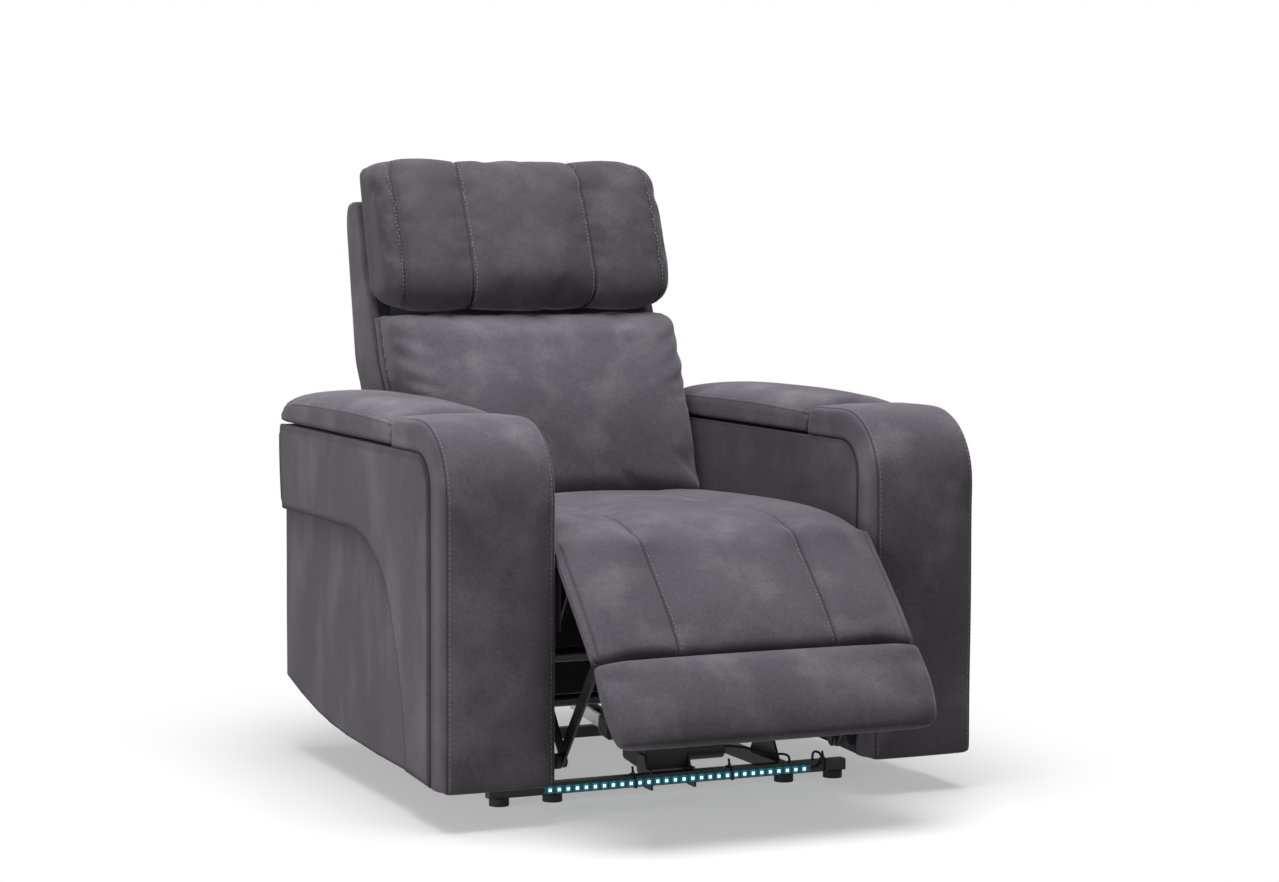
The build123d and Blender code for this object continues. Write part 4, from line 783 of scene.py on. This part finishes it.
def headShape(u, x, w, length):
    top = ease(w, 0.4, 0.9)
    half = head["half"]
    near, groove = sewnChannel(head, x)
    inside = ease(u, 0.02, 0.06)
    beside = np.abs(np.abs(x) - head["sideRollAt"])
    crown = head["crown"] * bump(x, 0.085) + head["sideCrown"] * bump(beside, 0.05)
    edge = -head["edgeDrop"] * ease(np.abs(x), 0.2415, half)
    paintedShade = top * 0.8 * bump(near, 0.0024) * inside
    held = np.maximum(1.0 - ease(w, 0.3, 0.5), bump(near, 0.004) * inside * top)
    held = np.maximum(held, 1.0 - ease(u, 0.002, 0.014))
    height = heightAt(headRun, u, w)
    x = cornered(x, height - head["low"], half, 0.045, 0.022)
    x = cornered(x, head["high"] - height, half, 0.048, 0.034)
    return u, x, top * (crown + edge - groove * inside), paintedShade, held


headCover = padBlock("headrestCover", head, headShape)
puff(headCover, cap=0.012, spare=0.02, widest=0.2902)
print("headrest cover made")

# arms: front bands, lids and panels
band = {"half": 0.0968, "thick": 0.060, "step": 0.012, "topRadius": 0.011, "lowRadius": 0.004,
        "seams": [{"q": 0.0070, "depth": 0.0024, "width": 0.0020}], "stitchesAt": 0.0022,
        "crown": 0.0035, "wave": 0.0010, "hemFromEnd": 0.016, "hemDeep": 0.0014, "footShade": 0.95}
band["run"] = [(0.2245, 0.655, 0.225, 0.6042), (0.195, 0.656, 0.195, 0.604), (0.15, 0.6568, 0.15, 0.604)]
for angle in np.radians(np.linspace(90.0, 180.0, 8)):      # the waterfall's turn
    back, up = math.cos(angle), math.sin(angle)
    band["run"].append((0.100 + 0.127 * back, 0.530 + 0.127 * up, 0.098 + 0.058 * back, 0.5455 + 0.058 * up))
band["run"] += [(-0.027, z, 0.04, z) for z in (0.5, 0.44, 0.36, 0.28, 0.2, 0.13, 0.085, 0.0625)]


def bandShape(u, x, w, length):
    top = ease(w, 0.4, 0.9)
    face = ease(u, 0.05, 0.2)
    crown = band["crown"] * (1 - np.abs(x / band["half"]) ** 2.2)
    wave = band["wave"] * np.sin(u * 17.0 + 2.0) * np.sin(x * 21.0 + u * 4.0 + 1.0)
    rear = -0.004 * (1 - ease(u, 0.0, 0.025))
    hem = bump(u - (length - band["hemFromEnd"]), 0.003)
    lift = top * (crown * face + wave + rear - band["hemDeep"] * hem)
    held = np.maximum(1.0 - ease(w, 0.3, 0.6), ease(u, length - 0.022, length - 0.010))
    low = band["footShade"] * (1.0 - ease(w, 0.02, 0.16))      # the shadow where the band meets the panels
    return u, x, lift, np.maximum(0.55 * hem * top, low), held


lid = {"half": 0.0972, "thick": 0.052, "step": 0.013, "topRadius": 0.016, "lowRadius": 0.004,
       "seams": [{"q": 0.0235, "depth": 0.0020, "width": 0.0022}], "stitchesAt": 0.0175,
       "edgeDrop": 0.0105, "wave": 0.0008, "footShade": 0.9}
lid["run"] = [(0.229, 0.6565, 0.229, 0.6078), (0.242, 0.663, 0.242, 0.6078), (0.29, 0.6655, 0.29, 0.6078),
              (0.4, 0.6685, 0.4, 0.6078), (0.53, 0.6695, 0.53, 0.6078), (0.65, 0.668, 0.65, 0.6078),
              (0.74, 0.664, 0.74, 0.6078), (0.79, 0.658, 0.787, 0.6078), (0.815, 0.649, 0.808, 0.608),
              (0.83, 0.633, 0.824, 0.61)]


def lidShape(u, x, w, length):
    top = ease(w, 0.4, 0.9)
    crown = -lid["edgeDrop"] * np.abs(x / lid["half"]) ** 2.4
    wave = lid["wave"] * np.sin(u * 19.0 + 1.0) * np.cos(x * 30.0 + 0.6)
    held = 1.0 - ease(w, 0.3, 0.6)
    return u, x, top * (crown + wave), lid["footShade"] * (1.0 - ease(w, 0.02, 0.14)), held


arms = {"right": -1, "left": 1}      # the sitter's right arm is on the side of negative x
armMiddle = 0.3895
bandCovers, lidCovers, bandSpecs, lidSpecs = {}, {}, {}, {}
for tag, hand in arms.items():
    bandSpecs[tag], lidSpecs[tag] = (dict(spec, middle=armMiddle * hand) for spec in (band, lid))
    bandCovers[tag] = padBlock("armBandCover_" + tag, bandSpecs[tag], bandShape)
    puff(bandCovers[tag], cap=0.004)
    lidCovers[tag] = padBlock("lidCover_" + tag, lidSpecs[tag], lidShape)
    puff(lidCovers[tag], cap=0.004)
print("arm bands and lids made")


# rimShade, rolls and the paler keys set the painted shade on the panels' rims
panel = {"cut": 0.018, "rimSegments": 3, "rimShade": 0.95, "rolls": ((0.5, 0.6), (1.1, 0.0)),
         "palerAbove": 0.58, "palerBefore": 0.055, "palerShare": 0.6}


def cutPanel(name, outline, inner, outer, rim, swell):
    # a soft panel: an outline in depth and height, a rounded rim on the outer face, cuts, then a slight swell
    hand = 1 if outer > inner else -1
    bm = bmesh.new()
    shade = bm.verts.layers.float.new("paintedShade")
    face = bm.faces.new([bm.verts.new((inner, frontLine + d, z)) for d, z in outline])
    lifted = bmesh.ops.extrude_face_region(bm, geom=[face])
    for spot in [g for g in lifted["geom"] if isinstance(g, bmesh.types.BMVert)]:
        spot.co.x = outer
    if rim:
        edges = [e for e in bm.edges if all(abs(v.co.x - outer) < 1e-6 for v in e.verts)]
        bmesh.ops.bevel(bm, geom=edges, offset=rim, segments=panel["rimSegments"], profile=0.5, affect="EDGES")
        # painted shade: the rim and the panel's other faces start almost fully shaded
        for spot in bm.verts:
            spot[shade] = panel["rimShade"]
        flat = [f for f in bm.faces if all(abs(v.co.x - outer) < 1e-6 for v in f.verts)]
        front = max(flat, key=lambda f: f.calc_area())
        # painted shade on the rolled edge, darker towards the groove
        for share, dark in panel["rolls"]:
            bmesh.ops.inset_individual(bm, faces=[front], thickness=rim * share, use_even_offset=True)
            for spot in front.verts:
                spot[shade] = dark
        for spot in bm.verts:
            if spot.co.z > panel["palerAbove"] or spot.co.y < frontLine + panel["palerBefore"]:
                spot[shade] *= panel["palerShare"]
    depths, heights = zip(*outline)
    for normal, first, last in (((0, 1, 0), min(depths) + frontLine, max(depths) + frontLine),
                                ((0, 0, 1), min(heights), max(heights))):
        for spot in np.arange(first + panel["cut"], last - panel["cut"] / 3, panel["cut"]):
            bmesh.ops.bisect_plane(bm, geom=bm.verts[:] + bm.edges[:] + bm.faces[:],
                                   plane_co=[spot * part for part in normal], plane_no=normal)
    bmesh.ops.remove_doubles(bm, verts=bm.verts[:], dist=1e-5)
    for spot in bm.verts:
        if abs(spot.co.x - outer) < 1e-5:
            y, z = spot.co.y, spot.co.z
            waves = math.sin(y * 9.0 + 2.0) * math.sin(z * 11.0 + 0.7) + 0.5 * math.sin(y * 23.0 + z * 17.0)
            spot.co.x += hand * swell * waves
    bmesh.ops.recalc_face_normals(bm, faces=bm.faces[:])
    mesh = bpy.data.meshes.new(name)
    bm.to_mesh(mesh)
    bm.free()
    return placed(name, mesh)


def threePoint(a, b, c, count=12):
    # points on the circle through three points, from the first to the last
    ax, ay, bx, by, cx, cy = (*a, *b, *c)
    d = 2 * (ax * (by - cy) + bx * (cy - ay) + cx * (ay - by))
    aa, bb, cc = (x * x + y * y for x, y in (a, b, c))
    ux = (aa * (by - cy) + bb * (cy - ay) + cc * (ay - by)) / d
    uy = (aa * (cx - bx) + bb * (ax - cx) + cc * (bx - ax)) / d
    radius = math.hypot(ax - ux, ay - uy)
    turns = [math.atan2(y - uy, x - ux) for x, y in (a, b, c)]
    sweep = (turns[2] - turns[0]) % (2 * math.pi)
    if (turns[1] - turns[0]) % (2 * math.pi) > sweep:
        sweep -= 2 * math.pi
    steps = [turns[0] + sweep * k / count for k in range(count + 1)]
    return [(ux + radius * math.cos(turn), uy + radius * math.sin(turn)) for turn in steps]


frontTurn = threePoint((0.099, 0.6025), (0.0579, 0.5846), (0.0405, 0.544), 8)
overlayLine = ([(0.8275, 0.6025)] + frontTurn + [(0.0405, 0.0640)] + [(0.157, 0.0715)]
               + threePoint((0.157, 0.0715), (0.191, 0.236), (0.249, 0.364), 12)[1:]
               + threePoint((0.249, 0.364), (0.326, 0.421), (0.430, 0.446), 12)[1:]
               + threePoint((0.816, 0.446), (0.826, 0.530), (0.8275, 0.6025), 8)[:-1])
sideLine = [(0.815, 0.6025)] + frontTurn + [(0.0405, 0.0645), (0.155, 0.0705), (0.316, 0.0735), (0.477, 0.0785),
                                            (0.560, 0.0865), (0.636, 0.0955), (0.730, 0.1145), (0.815, 0.1365)]
panelCovers = []
for tag, hand in arms.items():
    for name, line, inner, outer, rim in (("armOverlayCover_", overlayLine, 0.4806, 0.4895, 0.0060),
                                          ("armSideCover_", sideLine, 0.4752, 0.4808, 0.0025)):
        panelCovers.append(cutPanel(name + tag, line, inner * hand, outer * hand, rim, 0.0006))
print("arm side panels made")

# back shell, arm linings and the cloths that close the underside; the black sheet at the back is painted shade
# under the seat
shellRun = [(0.908, 0.349, 0.713, 0.349), (0.916, 0.378, 0.718, 0.388), (0.9235, 0.415, 0.7235, 0.416),
            (0.93, 0.452, 0.7585, 0.454), (0.942, 0.52, 0.7812, 0.52), (0.9557, 0.6, 0.809, 0.6),
            (0.9694, 0.68, 0.8367, 0.68), (0.983, 0.76, 0.864, 0.76), (0.991, 0.806, 0.883, 0.806),
            (1.0003, 0.861, 0.9125, 0.861), (1.0105, 0.92, 0.9285, 0.92), (1.018, 0.968, 0.9405, 0.97),
            (1.015, 0.994, 0.9465, 0.996), (0.998, 1.0125, 0.953, 1.0105)]
shell = {"run": shellRun, "half": 0.2868, "thick": 0.090, "step": 0.016, "topRadius": 0.014, "lowRadius": 0.004,
         "channels": (-0.190, 0.190), "seams": [{"q": 0.010, "depth": 0.0014, "width": 0.0026}],
         "crown": 0.002, "grooveDeep": 0.0022, "grooveWide": 0.004, "widerAbove": 0.032, "widerFrom": 0.640,
         "widerTo": 0.720}


def shellShape(u, x, w, length):
    top = ease(w, 0.4, 0.9)
    near = np.abs(np.abs(x) - shell["channels"][1])
    crown = (shell["crown"] * (1 - np.abs(x / shell["half"]) ** 2)
             + 0.0007 * np.sin(u * 14.0) * np.sin(x * 12.0 + 1.0))
    groove = shell["grooveDeep"] * bump(near, shell["grooveWide"])
    paintedShade = top * 0.7 * bump(near, 0.0022)
    return u, x * widerAbove(shell, u, w), top * (crown - groove), paintedShade, 0.0 * u


shellCover = padBlock("backShellCover", shell, shellShape)
print("back shell made")

armRear = {"half": 0.0944, "thick": 0.014, "step": 0.016, "topRadius": 0.004, "lowRadius": 0.001}
armRear["run"] = [(0.8152, z, 0.8008, z) for z in (0.1375, 0.180, 0.240, 0.320, 0.400, 0.436)]
armRear["run"] += [(0.8165, 0.447, 0.8008, 0.447), (0.8225, 0.485, 0.8008, 0.485),
                   (0.8258, 0.53, 0.8008, 0.53), (0.8272, 0.57, 0.8008, 0.57),
                   (0.8278, 0.6025, 0.8008, 0.6025)]


def armRearShape(u, x, w, length):
    narrow = 1.0 - 0.072 * (1 - ease(u, 0.300, 0.312))
    swell = 0.0006 * np.sin(u * 22.0) * np.cos(x * 20.0) * ease(w, 0.4, 0.9)
    return u, x * narrow, swell, 0.5 * bump(u - 0.306, 0.003), 0.0 * u


def flatShape(u, x, w, length):
    return u, x, 0.0 * u, 0.0 * u, 0.0 * u


underArm = {"half": 0.086, "thick": 0.0016, "step": 0.030, "topRadius": 0.0004, "lowRadius": 0.0004}
underArm["run"] = [(d, z - 0.0005, d, z - 0.0021) for d, z in
                   ((0.046, 0.0690), (0.100, 0.0722), (0.155, 0.0750), (0.316, 0.0790), (0.477, 0.0830),
                    (0.560, 0.0915), (0.636, 0.0995), (0.716, 0.1185), (0.797, 0.1375))]
# a black sheet hung at the back under the seat: painted shade that darkens the view under the seat and hides
# the bright floor behind
shadeSheet = {"run": [(0.803, 0.225, 0.8045, 0.225), (0.803, 0.18, 0.8045, 0.18), (0.803, 0.12, 0.8045, 0.12),
                 (0.803, 0.064, 0.8045, 0.064)],
         "half": 0.2912, "thick": 0.0015, "step": 0.012, "topRadius": 0.0004, "lowRadius": 0.0004}


def shadeSheetShape(u, x, w, length):
    sway = 0.0030 * np.sin(x * 34.0 + 0.8) * ease(u, 0.0, length) * (1 - ease(np.abs(x), 0.26, 0.291))
    return u, x, sway, 0.6 * bump(u - (length - 0.012), 0.002), 0.0 * u


seatSideLine = [(0.008, 0.416), (0.008, 0.312), (0.066, 0.308), (0.16, 0.306), (0.4, 0.306), (0.62, 0.306),
                (0.64, 0.31), (0.64, 0.4), (0.4, 0.4), (0.16, 0.4), (0.1, 0.406)]
innerLine = [(0.8145, 0.6025)] + frontTurn + [(0.0405, 0.0645)] + sideLine[-7:-1] + [(0.8145, 0.1363)]
innerCovers, rearCovers, underCloths, sideCloths = {}, {}, {}, {}
for tag, hand in arms.items():
    innerCovers[tag] = cutPanel("armInnerCover_" + tag, innerLine, 0.3002 * hand, 0.2925 * hand, 0.0025, 0.0005)
    rearCovers[tag] = padBlock("armRearCover_" + tag, dict(armRear, middle=0.3865 * hand), armRearShape)
    underCloths[tag] = padBlock("underArmCloth_" + tag, dict(underArm, middle=0.3875 * hand), flatShape)
rearShadeSheet = padBlock("rearShadeSheet", shadeSheet, shadeSheetShape)
for tag, hand in arms.items():
    sideCloths[tag] = cutPanel("seatSideCloth_" + tag, seatSideLine, 0.2712 * hand, 0.2730 * hand, 0.0, 0.0004)
print("linings and cloths made")


# top stitching
stitch = {"Pitch": 0.0080, "Dash": 0.0052, "Thread": 0.0010, "besideChannel": 0.0035}


def stitchTree():
    tree = bpy.data.node_groups.new("stitchRow", "GeometryNodeTree")
    sockets = {}
    for label, kind in (("Seam", "Geometry"), ("Pitch", "Float"), ("Dash", "Float"), ("Thread", "Float"),
                        ("Finish", "Material")):
        made = tree.interface.new_socket(label, in_out="INPUT", socket_type="NodeSocket" + kind)
        sockets[label] = made.identifier
    tree.interface.new_socket("Stitches", in_out="OUTPUT", socket_type="NodeSocketGeometry")
    given, result = tree.nodes.new("NodeGroupInput"), tree.nodes.new("NodeGroupOutput")
    curve, shaped, sewn, real, soft, coloured = (tree.nodes.new("GeometryNode" + kind) for kind in (
        "MeshToCurve", "Transform", "InstanceOnPoints", "RealizeInstances", "SetShadeSmooth", "SetMaterial"))
    spots = newNode(tree, "GeometryNodeCurveToPoints", mode="LENGTH")
    dash = newNode(tree, "GeometryNodeMeshUVSphere", Segments=6, Rings=4, Radius=0.5)
    size = tree.nodes.new("ShaderNodeCombineXYZ")
    for source, output, target, entry in (
            (given, "Seam", curve, "Mesh"), (curve, "Curve", spots, "Curve"), (given, "Pitch", spots, "Length"),
            (given, "Thread", size, "X"), (given, "Thread", size, "Y"), (given, "Dash", size, "Z"),
            (dash, "Mesh", shaped, "Geometry"), (size, "Vector", shaped, "Scale"),
            (spots, "Points", sewn, "Points"), (shaped, "Geometry", sewn, "Instance"),
            (spots, "Rotation", sewn, "Rotation"), (sewn, "Instances", real, "Geometry"),
            (real, "Geometry", soft, "Geometry"), (soft, "Geometry", coloured, "Geometry"),
            (given, "Finish", coloured, "Material"), (coloured, "Geometry", result, "Stitches")):
        tree.links.new(source.outputs[output], target.inputs[entry])
    return tree, sockets


stitchRows, stitchSockets = stitchTree()


def sewStitches(name, lines):
    points = [tuple(spot) for line in lines for spot in line]
    edges, first = [], 0
    for line in lines:
        edges += [(first + k, first + k + 1) for k in range(len(line) - 1)]
        first += len(line)
    mesh = bpy.data.meshes.new(name + "Guide")
    mesh.from_pydata(points, edges, [])
    guide = placed(name + "Guide", mesh)
    rows = guide.modifiers.new("rows", "NODES")
    rows.node_group = stitchRows
    for label in ("Pitch", "Dash", "Thread"):
        rows[stitchSockets[label]] = stitch[label]
    rows[stitchSockets["Finish"]] = finishes["thread"]
    ready = guide.evaluated_get(bpy.context.evaluated_depsgraph_get())
    sewnRows = bpy.data.meshes.new_from_object(ready)
    sewnRows.name = name
    bpy.data.objects.remove(guide)
    made = placed(name, sewnRows)
    return made


bothSides = (-1, 1)


def besideChannels(body, spec, first, last, count=160):
    at = spec["channels"][1] - stitch["besideChannel"]
    return [seamLine(body, spec, first, last, x=at * k, count=count) for k in bothSides]


def besideEdges(body, spec, first, last):
    return [seamLine(body, spec, first, last, q=spec["stitchesAt"], side=k) for k in bothSides]


chaiseStitches = sewStitches("chaiseStitches", besideChannels(seatCover, chaise, 0.16, 0.985, 300))
headStitches = sewStitches("headrestStitches", besideChannels(headCover, head, 0.06, 0.97)
                           + besideEdges(headCover, head, 0.10, 0.96))
lumbarStitches = sewStitches("lumbarStitches", besideEdges(lumbarCover, lumbar, 0.08, 0.92))
armStitches = sewStitches("armBandStitches", [line for tag in arms for line in
                                              besideEdges(bandCovers[tag], bandSpecs[tag], 0.02, 0.985)])
lidStitches = {tag: sewStitches("lidStitches_" + tag, besideEdges(lidCovers[tag], lidSpecs[tag], 0.03, 0.95))
               for tag in arms}
shellStitches = sewStitches("shellStitches", besideChannels(shellCover, shell, 0.06, 0.95))
print("top stitching sewn")

# the light strip's lead, on the route of its solid
leadRoute = [(0.266, -0.2137, 0.021), (0.288, -0.2137, 0.021), (0.288, -0.2167, 0.046), (0.288, -0.1804, 0.046),
             (0.288, -0.1804, 0.022), (0.242, -0.1804, 0.022), (0.242, -0.1804, 0.044), (0.195, -0.1804, 0.044),
             (0.16, -0.1453, 0.0583), (0.124, -0.1453, 0.0583)]
lead = {"length": 0.285, "diameter": 0.0044}
leadCurve = bpy.data.curves.new("stripLead", "CURVE")
leadCurve.dimensions = "3D"
leadCurve.bevel_depth = lead["diameter"] / 2
leadCurve.bevel_resolution = 3
leadCurve.resolution_u = 12
leadCurve.use_fill_caps = True
leadLine = leadCurve.splines.new("NURBS")
leadLine.points.add(len(leadRoute) - 1)
for point, spot in zip(leadLine.points, leadRoute):
    point.co = (*spot, 1.0)
leadLine.order_u = 3
leadLine.use_endpoint_u = True
leadCurve.materials.append(finishes["rubber"])
stripLead = placed("stripLead", leadCurve)
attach(stripLead, "base")
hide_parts("led_lead")
print("light strip lead made")

bend = {"start": place(0.0, 0.100, 0.470), "end": place(0.0, -0.050, 0.430)}      # the cover bends between them
dress(seatCover, ("seat", "footrest", bend["start"], bend["end"]), replaced=("seat_cushion", "knee_pad"))
dress(calfCover, "footrest", replaced=("calf_pad",))
dress(lumbarCover, "back", "suedeShifted", replaced=("lumbar_cushion",))
dress(headCover, "headrest", "headSuede", replaced=("headrest_cushion",))
for tag in arms:
    dress(bandCovers[tag], "seat", "suedeShifted" if tag == "left" else "suede",
          replaced=("arm_front_band_" + tag,))
    dress(lidCovers[tag], "lid_" + tag, replaced=("lid_pad_" + tag,))
for cover in panelCovers:
    side = cover.name.rsplit("_", 1)[1]
    kind = "overlay" if "Overlay" in cover.name else "side"
    dress(cover, "seat", "sideSuede", levels=0, replaced=("arm_" + kind + "_panel_" + side,))
dress(shellCover, "back", "suedeShifted", replaced=("back_shell",))
for tag in arms:
    dress(innerCovers[tag], "seat", "shadedInnerSuede", levels=0, replaced=("arm_inner_panels",))
    dress(rearCovers[tag], "seat", levels=0, replaced=("arm_rear_panels",))
    dress(underCloths[tag], "seat", "liningAndShade", levels=0)
for cloth in sideCloths.values():
    dress(cloth, "seat", "suedeShifted", levels=0)
dress(rearShadeSheet, "seat", "liningAndShade", levels=0)
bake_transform(chaiseStitches)
for row, body in ((headStitches, "headrest"), (lumbarStitches, "back"), (shellStitches, "back"),
                  (armStitches, "seat")):
    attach(row, body)
for tag, row in lidStitches.items():
    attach(row, "lid_" + tag)
